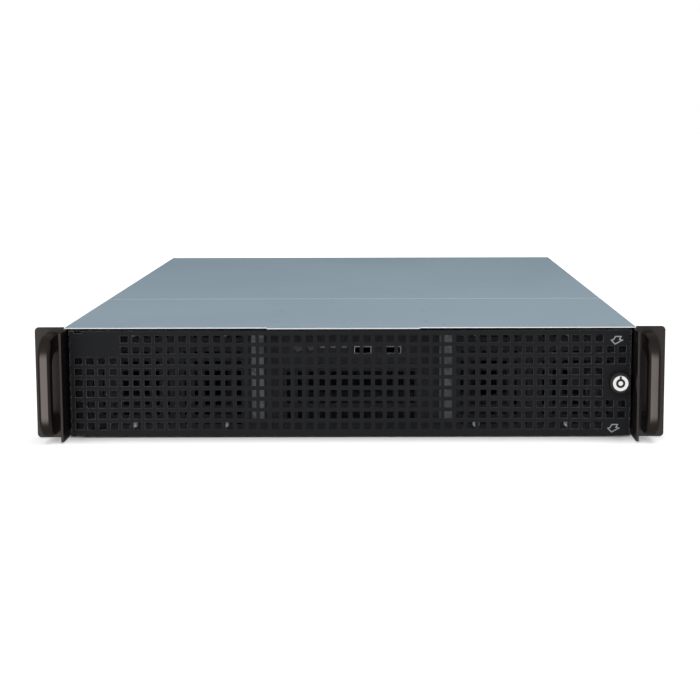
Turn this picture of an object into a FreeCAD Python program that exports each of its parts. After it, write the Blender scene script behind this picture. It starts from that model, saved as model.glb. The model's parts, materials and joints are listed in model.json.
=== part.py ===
import FreeCAD
import Part
import os
import re
import Sketcher
from FreeCAD import Placement, Rotation, Vector

# Empty two-unit rack server case with a perforated steel door.
# X runs across the front, Y runs back from the door, Z is up.
# The ear plane is the front face of the rack ears. Depths are counted back from it.

SIZES = (
    ("case_width", 436.0, "outside of the two side walls"),
    ("case_height", 85.5, "underside to the top of the covers"),
    ("body_length", 655.0, "ear plane to the rear face"),
    ("wall_sheet", 1.2, "steel of the tray, front wall and rear panel"),
    ("cover_sheet", 1.0, "steel of the two top covers"),
    ("cover_gap", 0.2, "play between a cover and what it rests on"),
    ("top_lip", 12.0, "width of the inward lips of the side walls"),
    ("cover_skirt", 12.0, "drop of the covers' side and rear skirts"),
    ("seam_depth", 204.8, "where the front panel meets the sliding cover"),
    ("seam_gap", 0.4, "open seam between the two covers"),
    ("front_wall_depth", 24.0, "front face of the wall behind the door"),
    ("fold", 12.0, "width of a folded stiffening edge"),
    ("front_lip_drop", 1.3, "height of the front panel's turned-down edge"),
    ("step_left", 63.5, "left end of the lowered part of the front edge"),
    ("step_right", 53.6, "right end of the lowered part of the front edge"),
    ("step_drop", 0.5, "how far that part is lowered"),
    ("step_reach", 3.0, "how far back that part runs"),
    ("ear_span", 482.6, "tip to tip over the rack ears"),
    ("ear_height", 85.5, "height of an ear"),
    ("ear_lift", 0.5, "ear above the underside"),
    ("ear_sheet", 2.0, "steel of the ears"),
    ("ear_corner", 3.0, "round of an ear's outer corners"),
    ("ear_flange", 46.0, "length of an ear's flange along the side"),
    ("ear_flange_rise", 8.0, "flange above the ear's lower edge"),
    ("ear_flange_height", 58.0, "height of that flange"),
    ("rack_spacing", 465.1, "rack slots, centre to centre across"),
    ("rack_rise", 44.45, "rack slots, centre to centre upwards"),
    ("slot_radius", 3.5, "half the width of a rack slot"),
    ("slot_length", 7.6, "end to end of a rack slot"),
    ("handle_centre", 228.1, "handle bar from the middle of the case"),
    ("handle_width", 9.2, "handle bar across"),
    ("handle_reach", 35.0, "handle in front of the ear plane"),
    ("handle_bar", 12.0, "front to back of the grip"),
    ("handle_height", 78.0, "end to end of a handle"),
    ("handle_gap_height", 47.0, "opening behind the grip"),
    ("handle_outer_round", 19.0, "outer corner of the arch"),
    ("handle_inner_round", 10.0, "inner corner of the arch"),
    ("handle_edge", 1.8, "bevel of the grip's edges"),
    ("side_sheet", 1.9, "steel of the side plates"),
    ("side_reach", 23.0, "side plate in front of the ear plane"),
    ("side_tail", 36.0, "side plate behind the front wall"),
    ("side_lift", 1.0, "side plate above the underside"),
    ("joggle_length", 3.0, "length of the side plate's inward step"),
    ("door_sheet", 1.0, "steel of the door"),
    ("door_side_gap", 1.0, "door to side plate"),
    ("door_lift", 1.0, "door above the underside"),
    ("door_top_gap", 1.0, "door to the front panel's lip"),
    ("door_fold", 10.0, "depth of the door's folded edges"),
    ("door_fold_relief", 5.0, "side folds stop this far from top and bottom"),
    ("door_bend", 0.8, "outer bevel of the door's side bends"),
    ("hole_width", 6.1, "door hole across"),
    ("hole_height", 5.5, "door hole upwards"),
    ("hole_pitch", 8.87, "door holes across, centre to centre"),
    ("row_pitch", 8.45, "door holes upwards, centre to centre"),
    ("row_shift", 0.75, "middle row above the door's own middle"),
    ("hinge_inset", 16.0, "hinge axis from the door's left edge"),
    ("hinge_depth", 5.0, "hinge axis behind the door's face"),
    ("pin_radius", 1.5, "hinge pin"),
    ("pin_play", 0.05, "radial play of a turning fit"),
    ("hinge_sheet", 1.2, "steel of the hinge brackets"),
    ("hinge_gap", 0.4, "bracket to the door's fold"),
    ("hinge_tip_radius", 3.2, "rounded end of a bracket"),
    ("hinge_arm_width", 11.0, "bracket arm across"),
    ("hinge_foot_height", 12.0, "bracket's foot on the front wall"),
    ("lock_centre", 206.5, "lock axis from the middle of the case"),
    ("lock_height", 43.0, "lock axis above the underside"),
    ("lock_collar_radius", 8.0, "collar round the lock"),
    ("lock_collar_length", 7.0, "collar in front of the door"),
    ("lock_body_radius", 6.0, "threaded body of the lock"),
    ("lock_body_length", 12.6, "lock body behind the door's face"),
    ("lock_bore_radius", 4.6, "bore for the lock's plug"),
    ("plug_cap_radius", 6.0, "bright face of the plug"),
    ("plug_cap_length", 1.5, "bright face of the plug"),
    ("keyway_radius", 3.4, "outside of the ring-shaped keyway"),
    ("keyway_post_radius", 1.9, "post inside the keyway"),
    ("keyway_depth", 5.0, "depth of the keyway"),
    ("keyway_notch", 1.4, "notch over the keyway"),
    ("cam_sheet", 2.0, "thickness of the lock's cam"),
    ("cam_reach", 22.0, "lock axis to the cam's tip"),
    ("cam_width", 9.0, "cam across"),
    ("cam_square", 4.5, "square end of the plug that turns the cam"),
    ("nut_flats", 14.4, "lock nut across its flats"),
    ("nut_height", 3.0, "lock nut"),
    ("catch_sheet", 1.2, "steel of the catch"),
    ("catch_lap", 7.0, "catch lip over the cam"),
    ("catch_gap", 0.6, "cam to catch"),
    ("catch_height", 14.0, "height of the catch"),
    ("catch_foot", 10.0, "foot of the catch on the front wall"),
    ("fan_centre", 134.0, "fan axis from the middle of the case"),
    ("fan_height", 42.6, "fan axis above the underside"),
    ("fan_size", 80.0, "side of a fan frame"),
    ("fan_depth", 25.0, "depth of a fan frame"),
    ("fan_bore_radius", 38.0, "air opening of a fan"),
    ("fan_hub_radius", 16.0, "fan hub"),
    ("fan_mount_radius", 17.0, "motor mount of a fan"),
    ("fan_strut", 3.0, "struts that carry the motor"),
    ("fan_tip_gap", 1.5, "blade tip to frame"),
    ("fan_play", 0.4, "rotor to motor mount"),
    ("fan_recess", 1.0, "rotor behind the front of its frame"),
    ("blade_thickness", 1.4, "fan blade in the middle"),
    ("blade_chord_depth", 15.0, "front to back of a blade"),
    ("blade_chord_width", 12.0, "blade across"),
    ("bay_width", 106.6, "inside of a drive cage"),
    ("cage_sheet", 1.0, "galvanised steel of the drive cages"),
    ("cage_flange", 10.0, "outward flanges of a drive cage"),
    ("cage_ear", 30.0, "front flanges of the centre cage"),
    ("window_left", -72.8, "middle of the front wall's left window"),
    ("window_right", 74.4, "middle of the front wall's right window"),
    ("window_width", 10.0, "those windows, across"),
    ("window_low", 9.0, "their lower edge above the underside"),
    ("window_high", 80.0, "their upper edge above the underside"),
    ("cage_end_depth", 200.0, "rear end of the drive cages"),
    ("cage_window", 22.0, "height of a cage's side windows"),
    ("fan_clearance", 2.0, "fans to the cages behind them"),
    ("brace_width", 30.0, "cross brace front to back"),
    ("brace_drop", 10.0, "turned-down edge of the brace"),
    ("brace_tab_lap", 4.0, "end tabs under the brace"),
    ("slit_inner", 72.3, "inner slit in the front panel"),
    ("slit_outer", 203.3, "outer slit in the front panel"),
    ("slit_length", 3.0, "slit across"),
    ("slit_width", 2.6, "slit front to back"),
    ("slit_depth", 15.0, "slits behind the ear plane"),
    ("panel_gap", 0.3, "gap round the centre panels"),
    ("panel_split", 53.6, "seam between control panel and grille"),
    ("panel_top_edge", 81.4, "top of the control panel"),
    ("panel_thickness", 3.0, "front of the control panel"),
    ("panel_rim", 8.0, "depth of the control panel's rim"),
    ("panel_rim_sheet", 2.0, "wall of that rim"),
    ("grille_sheet", 1.0, "steel of the centre grille"),
    ("grille_slot_width", 5.4, "grille slot across"),
    ("grille_slot_height", 11.0, "grille slot upwards"),
    ("grille_pitch", 8.6, "grille slots across, centre to centre"),
    ("grille_row_pitch", 14.4, "grille slots upwards, centre to centre"),
    ("button_height", 66.8, "buttons above the underside"),
    ("power_centre", -41.0, "power button"),
    ("reset_centre", -31.0, "reset button"),
    ("power_radius", 3.2, "power button"),
    ("reset_radius", 2.6, "reset button"),
    ("button_play", 0.3, "button in its hole"),
    ("button_proud", 0.8, "button in front of the panel"),
    ("button_rim", 0.8, "shoulder behind a button's hole"),
    ("led_height", 67.4, "lamps above the underside"),
    ("led_start", -22.0, "first lamp"),
    ("led_pitch", 8.6, "lamps, centre to centre"),
    ("led_width", 4.0, "lamp across"),
    ("led_rise", 2.2, "lamp upwards"),
    ("port_height", 64.8, "ports above the underside"),
    ("port_start", 9.5, "first port"),
    ("port_pitch", 23.3, "ports, centre to centre"),
    ("port_width", 13.1, "port shell across"),
    ("port_rise", 5.7, "port shell upwards"),
    ("port_sheet", 0.4, "steel of a port shell"),
    ("port_tongue", 1.8, "thickness of a port's tongue"),
    ("port_play", 0.2, "port in its cut-out"),
    ("board_sheet", 1.6, "circuit board"),
    ("board_gap", 0.3, "board to what it lies against"),
    ("psu_centre", 156.0, "power supply opening"),
    ("psu_width", 96.0, "power supply opening across"),
    ("psu_bottom", 9.0, "lower edge of that opening"),
    ("psu_height", 58.0, "power supply opening upwards"),
    ("psu_screw_width", 88.0, "power supply screws across"),
    ("psu_screw_rise", 66.0, "power supply screws upwards"),
    ("psu_hole_radius", 1.9, "power supply screw holes"),
    ("io_left", -70.8, "left end of the connector opening"),
    ("io_width", 158.75, "connector opening across"),
    ("io_bottom", 6.0, "lower edge of the connector opening"),
    ("io_height", 44.45, "connector opening upwards"),
    ("vent_width", 4.0, "rear vent slot across"),
    ("vent_bottom", 55.0, "lower edge of the rear vents"),
    ("vent_height", 14.0, "rear vent slot upwards"),
    ("vent_pitch", 10.0, "rear vents, centre to centre"),
    ("card_first", -84.4, "first card slot"),
    ("card_pitch", 20.32, "card slots, centre to centre"),
    ("card_width", 12.2, "card slot across"),
    ("card_bottom", 8.0, "lower end of the card slots"),
    ("card_height", 60.0, "card slot upwards"),
    ("blank_width", 18.4, "slot blank across"),
    ("blank_sheet", 0.9, "steel of a slot blank"),
    ("blank_lap", 3.0, "slot blank above and below its slot"),
    ("blank_tab", 9.0, "turned-in tab of a slot blank"),
    ("post_height", 6.5, "board post"),
    ("post_flats", 6.0, "board post across its flats"),
    ("post_right", 84.6, "right column of board posts"),
    ("post_column_two", 157.48, "middle column from the right one"),
    ("post_column_three", 281.94, "left column from the right one"),
    ("post_rear", 17.0, "rear row of posts in front of the rear face"),
    ("post_row_two", 154.94, "middle row from the rear one"),
    ("post_row_three", 227.33, "front row from the rear one"),
    ("thumb_drop", 7.0, "cover screw below the top"),
    ("thumb_radius", 5.0, "knurled head of the cover screw"),
    ("thumb_head", 8.0, "length of that head"),
    ("thumb_shank_radius", 2.0, "shank of the cover screw"),
    ("thumb_shank", 4.0, "cover screw inside the rear panel"),
    ("thumb_play", 0.3, "cover screw in the cover's hole"),
)

DOOR_COLUMNS = 50
DOOR_ROWS = 9
LOGO_ROWS = (1, 2)
LOGO_COLUMNS = (2, 3, 4, 5)
LOCK_COLUMNS = (48, 49)
LOCK_BLANK_ROWS = (1, 4, 5, 6, 9)
GRILLE_COLUMNS = 12
GRILLE_ROWS = 3
BLADES = 7
CARD_SLOTS = 7
REAR_VENTS = 15
CAGE_WINDOWS = 3
LAMPS = 3
PORTS = 2

doc = FreeCAD.newDocument("rack_case")
sheet = doc.addObject("Spreadsheet::Sheet", "sizes")
for row, (alias, value, note) in enumerate(SIZES, start=1):
    sheet.set(f"A{row}", note)
    sheet.set(f"B{row}", str(value))
    sheet.setAlias(f"B{row}", alias)
doc.recompute()

ALIASES = {alias for alias, _, _ in SIZES}
NODES = {}


def linked(text):
    """Turn the plain size names of a formula into references to the sheet."""
    return re.sub(r"[a-z_]+[a-z]", lambda m: f"sizes.{m[0]}" if m[0] in ALIASES else m[0], text)


def bind(thing, prop, text):
    thing.setExpression(prop, linked(str(text)))


def value_of(text):
    return float(sheet.evalExpression(linked(str(text))))


# Places that several pieces share, as formulas of the sizes.
HALF = "(case_width / 2)"
INNER = "(case_width / 2 - wall_sheet)"
COVER_UNDER = "(case_height - cover_sheet)"
LIP_TOP = "(case_height - cover_sheet - cover_gap)"
SHELF = "(case_height - cover_sheet - cover_gap - wall_sheet)"
SKIRT_IN = "(case_width / 2 + cover_gap)"
SKIRT_OUT = "(case_width / 2 + cover_gap + cover_sheet)"
WALL_BACK = "(front_wall_depth + wall_sheet)"
TAIL = "(cover_gap + cover_sheet + thumb_head)"
EAR_PLANE = f"((handle_reach - body_length - {TAIL}) / 2)"
PLATE_IN = "(case_width / 2 - wall_sheet)"
PLATE_OUT = "(case_width / 2 - wall_sheet + side_sheet)"
DOOR_HALF = f"({PLATE_IN} - door_side_gap)"
DOOR_TOP = "(case_height - front_lip_drop - door_top_gap)"
HINGE_X = f"(hinge_inset - {DOOR_HALF})"
CAGE_OUT = "(bay_width / 2 + cage_sheet)"
FAN_BACK = f"({WALL_BACK} + fan_depth)"


def box(name, low, high):
    """A block between two corners, each given as x, depth and z."""
    block = doc.addObject("Part::Box", name)
    bind(block, "Placement.Base.x", low[0])
    bind(block, "Placement.Base.y", f"{EAR_PLANE} + ({low[1]})")
    bind(block, "Placement.Base.z", low[2])
    bind(block, "Length", f"({high[0]}) - ({low[0]})")
    bind(block, "Width", f"({high[1]}) - ({low[1]})")
    bind(block, "Height", f"({high[2]}) - ({low[2]})")
    return block


TURNS = {
    "x": Rotation(Vector(0, 1, 0), 90),
    "y": Rotation(Vector(1, 0, 0), -90),
    "z": Rotation(),
}


def stand(thing, axis, start):
    """Put a piece that grows along its own Z at a start point, turned to an axis."""
    thing.Placement = Placement(Vector(), TURNS[axis])
    bind(thing, "Placement.Base.x", start[0])
    bind(thing, "Placement.Base.y", f"{EAR_PLANE} + ({start[1]})")
    bind(thing, "Placement.Base.z", start[2])
    return thing


def rod(name, axis, start, radius, length):
    bar = doc.addObject("Part::Cylinder", name)
    bind(bar, "Radius", radius)
    bind(bar, "Height", length)
    return stand(bar, axis, start)


def hexagon(name, axis, start, flats, length):
    prism = doc.addObject("Part::Prism", name)
    prism.Polygon = 6
    bind(prism, "Circumradius", f"({flats}) / sqrt(3)")
    bind(prism, "Height", length)
    return stand(prism, axis, start)


def fuse(name, *pieces):
    joined = doc.addObject("Part::MultiFuse", name)
    joined.Shapes = list(pieces)
    joined.Refine = True
    return joined


def group(name, *pieces):
    """Separate solids that share one node."""
    together = doc.addObject("Part::Compound", name)
    together.Links = list(pieces)
    return together


def cut(name, base, *tools):
    tool = tools[0] if len(tools) == 1 else group(f"{name}_tools", *tools)
    result = doc.addObject("Part::Cut", name)
    result.Base = base
    result.Tool = tool
    return result


def node(thing, name):
    thing.Label = name
    NODES[name] = thing
    return thing


def runs_along(edge, axis):
    first, last = edge.Vertexes[0].Point, edge.Vertexes[-1].Point
    along = (last - first).normalize() if (last - first).Length > 1e-6 else Vector()
    return abs(along.dot(axis)) > 0.999


def near(value, target):
    return abs(value - target) < 0.01


def start_body(name):
    """A body whose own origin lies on the ear plane."""
    body = doc.addObject("PartDesign::Body", name)
    bind(body, "Placement.Base.y", EAR_PLANE)
    return body


def outline(body, name, plane, corners, offset=None):
    """A closed sketch through corners, each pinned by two formulas."""
    sketch = body.newObject("Sketcher::SketchObject", name)
    role = next(f for f in body.Origin.OriginFeatures if f.Role == plane)
    sketch.AttachmentSupport = [(role, "")]
    sketch.MapMode = "FlatFace"
    if offset is not None:
        bind(sketch, "AttachmentOffset.Base.z", offset)
    points = [Vector(value_of(first), value_of(second), 0) for first, second in corners]
    count = len(points)
    for i in range(count):
        sketch.addGeometry(Part.LineSegment(points[i], points[(i + 1) % count]), False)
    for i in range(count):
        sketch.addConstraint(Sketcher.Constraint("Coincident", i, 2, (i + 1) % count, 1))
    for i, (first, second) in enumerate(corners):
        across = sketch.addConstraint(Sketcher.Constraint("DistanceX", -1, 1, i, 1, points[i].x))
        bind(sketch, f"Constraints[{across}]", first)
        upward = sketch.addConstraint(Sketcher.Constraint("DistanceY", -1, 1, i, 1, points[i].y))
        bind(sketch, f"Constraints[{upward}]", second)
    return sketch


def pad(body, name, sketch, length, midplane=False, backwards=False):
    feature = body.newObject("PartDesign::Pad", name)
    feature.Profile = sketch
    feature.Midplane = midplane
    feature.Reversed = backwards
    bind(feature, "Length", length)
    sketch.Visibility = False
    return feature


def dress(body, kind, name, base, prop, amount, chosen):
    """Fillet or chamfer the edges of a feature for which chosen(edge) is true."""
    doc.recompute()
    numbers = [i for i, edge in enumerate(base.Shape.Edges, start=1) if chosen(edge)]
    feature = body.newObject(kind, name)
    feature.Base = (base, [f"Edge{number}" for number in numbers])
    bind(feature, prop, amount)
    return feature


SIDES = (("left", "-1"), ("right", "1"))
REAR_IN = "(body_length + cover_gap)"
REAR_OUT = "(body_length + cover_gap + cover_sheet)"
LIP_IN = "(case_width / 2 - top_lip - cover_gap)"
TAIL_IN = f"({PLATE_IN} - side_sheet)"
FRONT_WALL_HALF = f"({TAIL_IN} - cover_gap)"
EAR_IN = f"({PLATE_OUT} + cover_gap)"
EAR_MIDDLE = "(ear_lift + ear_height / 2)"
PANEL_HALF = "(bay_width / 2 - panel_gap)"
BOARD_FRONT = "(front_wall_depth + panel_rim)"
CAM_FRONT = "(lock_body_length + cover_gap)"
CAGE_FRONT = f"({FAN_BACK} + fan_clearance)"


def make_tray():
    """Floor, side walls and inward lips, folded from one sheet."""
    body = start_body("tray_body")
    corners = (
        (f"-{HALF}", "0"),
        (HALF, "0"),
        (HALF, LIP_TOP),
        (f"{HALF} - top_lip", LIP_TOP),
        (f"{HALF} - top_lip", SHELF),
        (INNER, SHELF),
        (INNER, "wall_sheet"),
        (f"-{INNER}", "wall_sheet"),
        (f"-{INNER}", SHELF),
        (f"top_lip - {HALF}", SHELF),
        (f"top_lip - {HALF}", LIP_TOP),
        (f"-{HALF}", LIP_TOP),
    )
    section = outline(body, "tray_section", "XZ_Plane", corners, "-body_length")
    folded = pad(body, "tray_pad", section, "body_length - front_wall_depth")
    half = value_of(HALF)
    dress(
        body, "PartDesign::Fillet", "tray_bends", folded, "Radius", "wall_sheet * 0.9",
        lambda edge: runs_along(edge, Vector(0, 1, 0)) and near(abs(edge.CenterOfMass.x), half),
    )
    return node(body, "chassis_tray")


def make_front_wall():
    plate = box(
        "wall_plate", (f"-{FRONT_WALL_HALF}", "front_wall_depth", "wall_sheet"),
        (FRONT_WALL_HALF, WALL_BACK, SHELF),
    )
    top_fold = box(
        "wall_top_fold", (f"-{LIP_IN}", "front_wall_depth", SHELF),
        (LIP_IN, "front_wall_depth + fold", LIP_TOP),
    )
    foot_start = f"({CAGE_OUT} + cage_sheet)"
    feet = [
        box(f"wall_foot_{side}", (low, "front_wall_depth", "wall_sheet"),
            (high, "front_wall_depth + fold", "wall_sheet * 2"))
        for side, low, high in (
            ("left", f"-{FRONT_WALL_HALF}", f"-{foot_start}"),
            ("right", foot_start, FRONT_WALL_HALF),
        )
    ]
    openings = [
        box("wall_centre_opening", (f"-{CAGE_OUT}", "front_wall_depth - fold", "wall_sheet * 2"),
            (CAGE_OUT, "front_wall_depth + fold", "panel_top_edge + panel_gap")),
    ]
    for side, sign in SIDES:
        openings.append(box(
            f"wall_window_{side}",
            (f"window_{side} - window_width / 2", "front_wall_depth - fold", "window_low"),
            (f"window_{side} + window_width / 2", "front_wall_depth + fold", "window_high"),
        ))
        openings.append(rod(
            f"wall_fan_bore_{side}", "y", (f"{sign} * fan_centre", "front_wall_depth - fold", "fan_height"),
            "fan_bore_radius", "fold * 2",
        ))
    wall = fuse("wall_folded", plate, top_fold, *feet)
    return node(cut("wall_cut", wall, *openings), "front_wall")


def make_drive_cage(name, centre, front, ear_reach):
    """An open channel for three drives, hung by flanges that turn outward."""
    def across(text):
        return f"{centre} + {text}"

    outer, ear = f"({CAGE_OUT} + cage_flange)", f"({CAGE_OUT} + {ear_reach})"
    pieces = [
        box(f"{name}_floor", (across(f"-{CAGE_OUT}"), front, "wall_sheet"),
            (across(CAGE_OUT), "cage_end_depth", "wall_sheet + cage_sheet")),
        box(f"{name}_wall_a", (across(f"-{CAGE_OUT}"), front, "wall_sheet"),
            (across("-bay_width / 2"), "cage_end_depth", SHELF)),
        box(f"{name}_wall_b", (across("bay_width / 2"), front, "wall_sheet"),
            (across(CAGE_OUT), "cage_end_depth", SHELF)),
        box(f"{name}_flange_a", (across(f"-{outer}"), front, f"{SHELF} - cage_sheet"),
            (across(f"-{CAGE_OUT}"), "cage_end_depth", SHELF)),
        box(f"{name}_flange_b", (across(CAGE_OUT), front, f"{SHELF} - cage_sheet"),
            (across(outer), "cage_end_depth", SHELF)),
        box(f"{name}_front_a", (across(f"-{ear}"), front, "wall_sheet * 2"),
            (across(f"-{CAGE_OUT}"), f"{front} + cage_sheet", SHELF)),
        box(f"{name}_front_b", (across(CAGE_OUT), front, "wall_sheet * 2"),
            (across(ear), f"{front} + cage_sheet", SHELF)),
    ]
    shell = fuse(f"{name}_shell", *pieces)
    share = f"(cage_end_depth - {front}) / {CAGE_WINDOWS}"
    middle = f"({SHELF} + wall_sheet) / 2"
    windows = [
        box(f"{name}_window_{i}",
            (across(f"-{outer}"), f"{front} + {share} * {i} + {share} / 4", f"{middle} - cage_window / 2"),
            (across(outer), f"{front} + {share} * {i} + {share} * 3 / 4", f"{middle} + cage_window / 2"))
        for i in range(CAGE_WINDOWS)
    ]
    return node(cut(f"{name}_cut", shell, *windows), name)


def make_cross_brace():
    front, rear = "(seam_depth - brace_width / 2)", "(seam_depth + brace_width / 2)"
    web = box("brace_web", (f"-{LIP_IN}", front, SHELF), (LIP_IN, rear, LIP_TOP))
    drop = box(
        "brace_drop_edge", (f"-{LIP_IN}", f"{rear} - wall_sheet", f"{SHELF} - brace_drop"),
        (LIP_IN, rear, SHELF),
    )
    tabs = [
        box(f"brace_tab_{side}", (low, front, f"{SHELF} - wall_sheet"), (high, rear, SHELF))
        for side, low, high in (
            ("left", f"cover_gap - {INNER}", f"brace_tab_lap - {LIP_IN}"),
            ("right", f"{LIP_IN} - brace_tab_lap", f"{INNER} - cover_gap"),
        )
    ]
    return node(fuse("brace_folded", web, drop, *tabs), "cross_brace")


def cover_skirts(name, front, rear):
    return [
        box(f"{name}_skirt_{side}", (low, front, "case_height - cover_skirt"), (high, rear, COVER_UNDER))
        for side, low, high in (
            ("left", f"-{SKIRT_OUT}", f"-{SKIRT_IN}"),
            ("right", SKIRT_IN, SKIRT_OUT),
        )
    ]


def top_sheet(name, corners, bends_front):
    """A cover's sheet from its side profile, with its long outer edges rounded."""
    body = start_body(f"{name}_body")
    profile = outline(body, f"{name}_profile", "YZ_Plane", corners)
    folded = pad(body, f"{name}_pad", profile, f"{SKIRT_OUT} * 2", midplane=True)
    side, top = value_of(SKIRT_OUT), value_of("case_height")

    def is_bend(edge):
        if not near(edge.CenterOfMass.z, top):
            return False
        if runs_along(edge, Vector(0, 1, 0)):
            return near(abs(edge.CenterOfMass.x), side)
        return near(edge.CenterOfMass.y, value_of(bends_front))

    dress(body, "PartDesign::Fillet", f"{name}_bends", folded, "Radius", "cover_sheet * 0.9", is_bend)
    return body


def make_front_top_panel():
    lip_bottom = "(case_height - front_lip_drop)"
    body = top_sheet("front_top", (
        ("0", lip_bottom),
        ("0", "case_height"),
        ("seam_depth", "case_height"),
        ("seam_depth", COVER_UNDER),
        ("cover_sheet", COVER_UNDER),
        ("cover_sheet", lip_bottom),
    ), "0")
    skirts = cover_skirts("front_top", "front_wall_depth + cover_sheet * 2", "seam_depth")
    lowered = box(
        "front_top_step", ("-step_left", "-cover_sheet", "case_height - step_drop"),
        ("step_right", "step_reach", "case_height + cover_sheet"),
    )
    lip_ends = [
        box(f"front_top_lip_end_{side}", (low, "-cover_sheet", f"{lip_bottom} - cover_sheet"),
            (high, "cover_sheet * 2", COVER_UNDER))
        for side, low, high in (
            ("left", f"-{SKIRT_OUT} - cover_sheet", f"cover_gap - {PLATE_IN}"),
            ("right", f"{PLATE_IN} - cover_gap", f"{SKIRT_OUT} + cover_sheet"),
        )
    ]
    slits = [
        box(f"front_top_slit_{i}", (f"{x} - slit_length / 2", "slit_depth", f"{COVER_UNDER} - cover_sheet"),
            (f"{x} + slit_length / 2", "slit_depth + slit_width", "case_height + cover_sheet"))
        for i, x in enumerate(("slit_inner", "slit_outer"))
    ]
    whole = fuse("front_top_folded", body, *skirts)
    return node(cut("front_top_cut", whole, lowered, *lip_ends, *slits), "front_top_panel")


THUMB_Z = "(case_height - thumb_drop)"


def make_top_cover():
    front = "(seam_depth + seam_gap)"
    body = top_sheet("cover", (
        (front, COVER_UNDER),
        (front, "case_height"),
        (REAR_OUT, "case_height"),
        (REAR_OUT, "case_height - cover_skirt"),
        (REAR_IN, "case_height - cover_skirt"),
        (REAR_IN, COVER_UNDER),
    ), REAR_OUT)
    whole = fuse("cover_folded", body, *cover_skirts("cover", front, REAR_OUT))
    way = rod("cover_screw_way", "y", ("0", "body_length - fold", THUMB_Z), "thumb_shank_radius + thumb_play",
              "fold * 2")
    return node(cut("cover_cut", whole, way), "top_cover")


def make_cover_screw():
    head = rod("thumb_head_rod", "y", ("0", REAR_OUT, THUMB_Z), "thumb_radius", "thumb_head")
    start = "(body_length - wall_sheet - thumb_shank)"
    shank = rod("thumb_shank_rod", "y", ("0", start, THUMB_Z), "thumb_shank_radius", f"{REAR_OUT} - {start}")
    return node(fuse("thumb_screw", head, shank), "cover_screw")


def make_rear_panel():
    plate = box(
        "rear_plate", (f"cover_gap - {INNER}", "body_length - wall_sheet", "wall_sheet"),
        (f"{INNER} - cover_gap", "body_length", SHELF),
    )
    top_fold = box(
        "rear_top_fold", (f"-{LIP_IN}", "body_length - fold", SHELF), (LIP_IN, "body_length", LIP_TOP)
    )
    foot = box(
        "rear_foot", (f"cover_gap - {INNER}", "body_length - fold", "wall_sheet"),
        (f"{INNER} - cover_gap", "body_length", "wall_sheet * 2"),
    )
    before, behind = "body_length - fold / 2", "body_length + fold"
    openings = [
        box("psu_opening", ("psu_centre - psu_width / 2", before, "psu_bottom"),
            ("psu_centre + psu_width / 2", behind, "psu_bottom + psu_height")),
        box("io_opening", ("io_left", before, "io_bottom"),
            ("io_left + io_width", behind, "io_bottom + io_height")),
    ]
    for across in ("-1", "1"):
        for upward in ("-1", "1"):
            openings.append(rod(
                f"psu_screw_{across}_{upward}".replace("-", "m"), "y",
                (f"psu_centre + {across} * psu_screw_width / 2", before,
                 f"psu_bottom + psu_height / 2 + {upward} * psu_screw_rise / 2"),
                "psu_hole_radius", "fold",
            ))
    for i in range(REAR_VENTS):
        middle = f"(io_left + io_width / 2 + {i - (REAR_VENTS - 1) / 2} * vent_pitch)"
        openings.append(box(
            f"vent_{i}", (f"{middle} - vent_width / 2", before, "vent_bottom"),
            (f"{middle} + vent_width / 2", behind, "vent_bottom + vent_height"),
        ))
    for i in range(CARD_SLOTS):
        middle = f"(card_first - {i} * card_pitch)"
        openings.append(box(
            f"card_slot_{i}", (f"{middle} - card_width / 2", before, "card_bottom"),
            (f"{middle} + card_width / 2", behind, "card_bottom + card_height"),
        ))
    openings.append(rod(
        "rear_screw_way", "y", ("0", before, THUMB_Z), "thumb_shank_radius + pin_play", "fold"
    ))
    folded = fuse("rear_folded", plate, top_fold, foot)
    return node(cut("rear_cut", folded, *openings), "rear_panel")


def make_slot_blanks():
    """One plate behind each card slot, with a tab turned in at its top."""
    back = "(body_length - wall_sheet)"
    bottom, top = "(card_bottom - blank_lap)", "(card_bottom + card_height + blank_lap)"
    blanks = []
    for i in range(CARD_SLOTS):
        middle = f"(card_first - {i} * card_pitch)"
        left, right = f"{middle} - blank_width / 2", f"{middle} + blank_width / 2"
        plate = box(f"blank_plate_{i}", (left, f"{back} - blank_sheet", bottom), (right, back, top))
        tab = box(f"blank_tab_{i}", (left, f"{back} - blank_tab", f"{top} - blank_sheet"), (right, back, top))
        blanks.append(fuse(f"blank_{i}", plate, tab))
    return node(group("blank_set", *blanks), "slot_blanks")


def make_board_posts():
    posts = []
    columns = ("post_right", "post_right - post_column_two", "post_right - post_column_three")
    for column, x in enumerate(columns):
        for line, back in enumerate(("0", "post_row_two", "post_row_three")):
            start = (x, f"body_length - post_rear - {back}", "wall_sheet")
            posts.append(hexagon(f"post_{column}_{line}", "z", start, "post_flats", "post_height"))
    return node(group("post_set", *posts), "board_posts")


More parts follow.
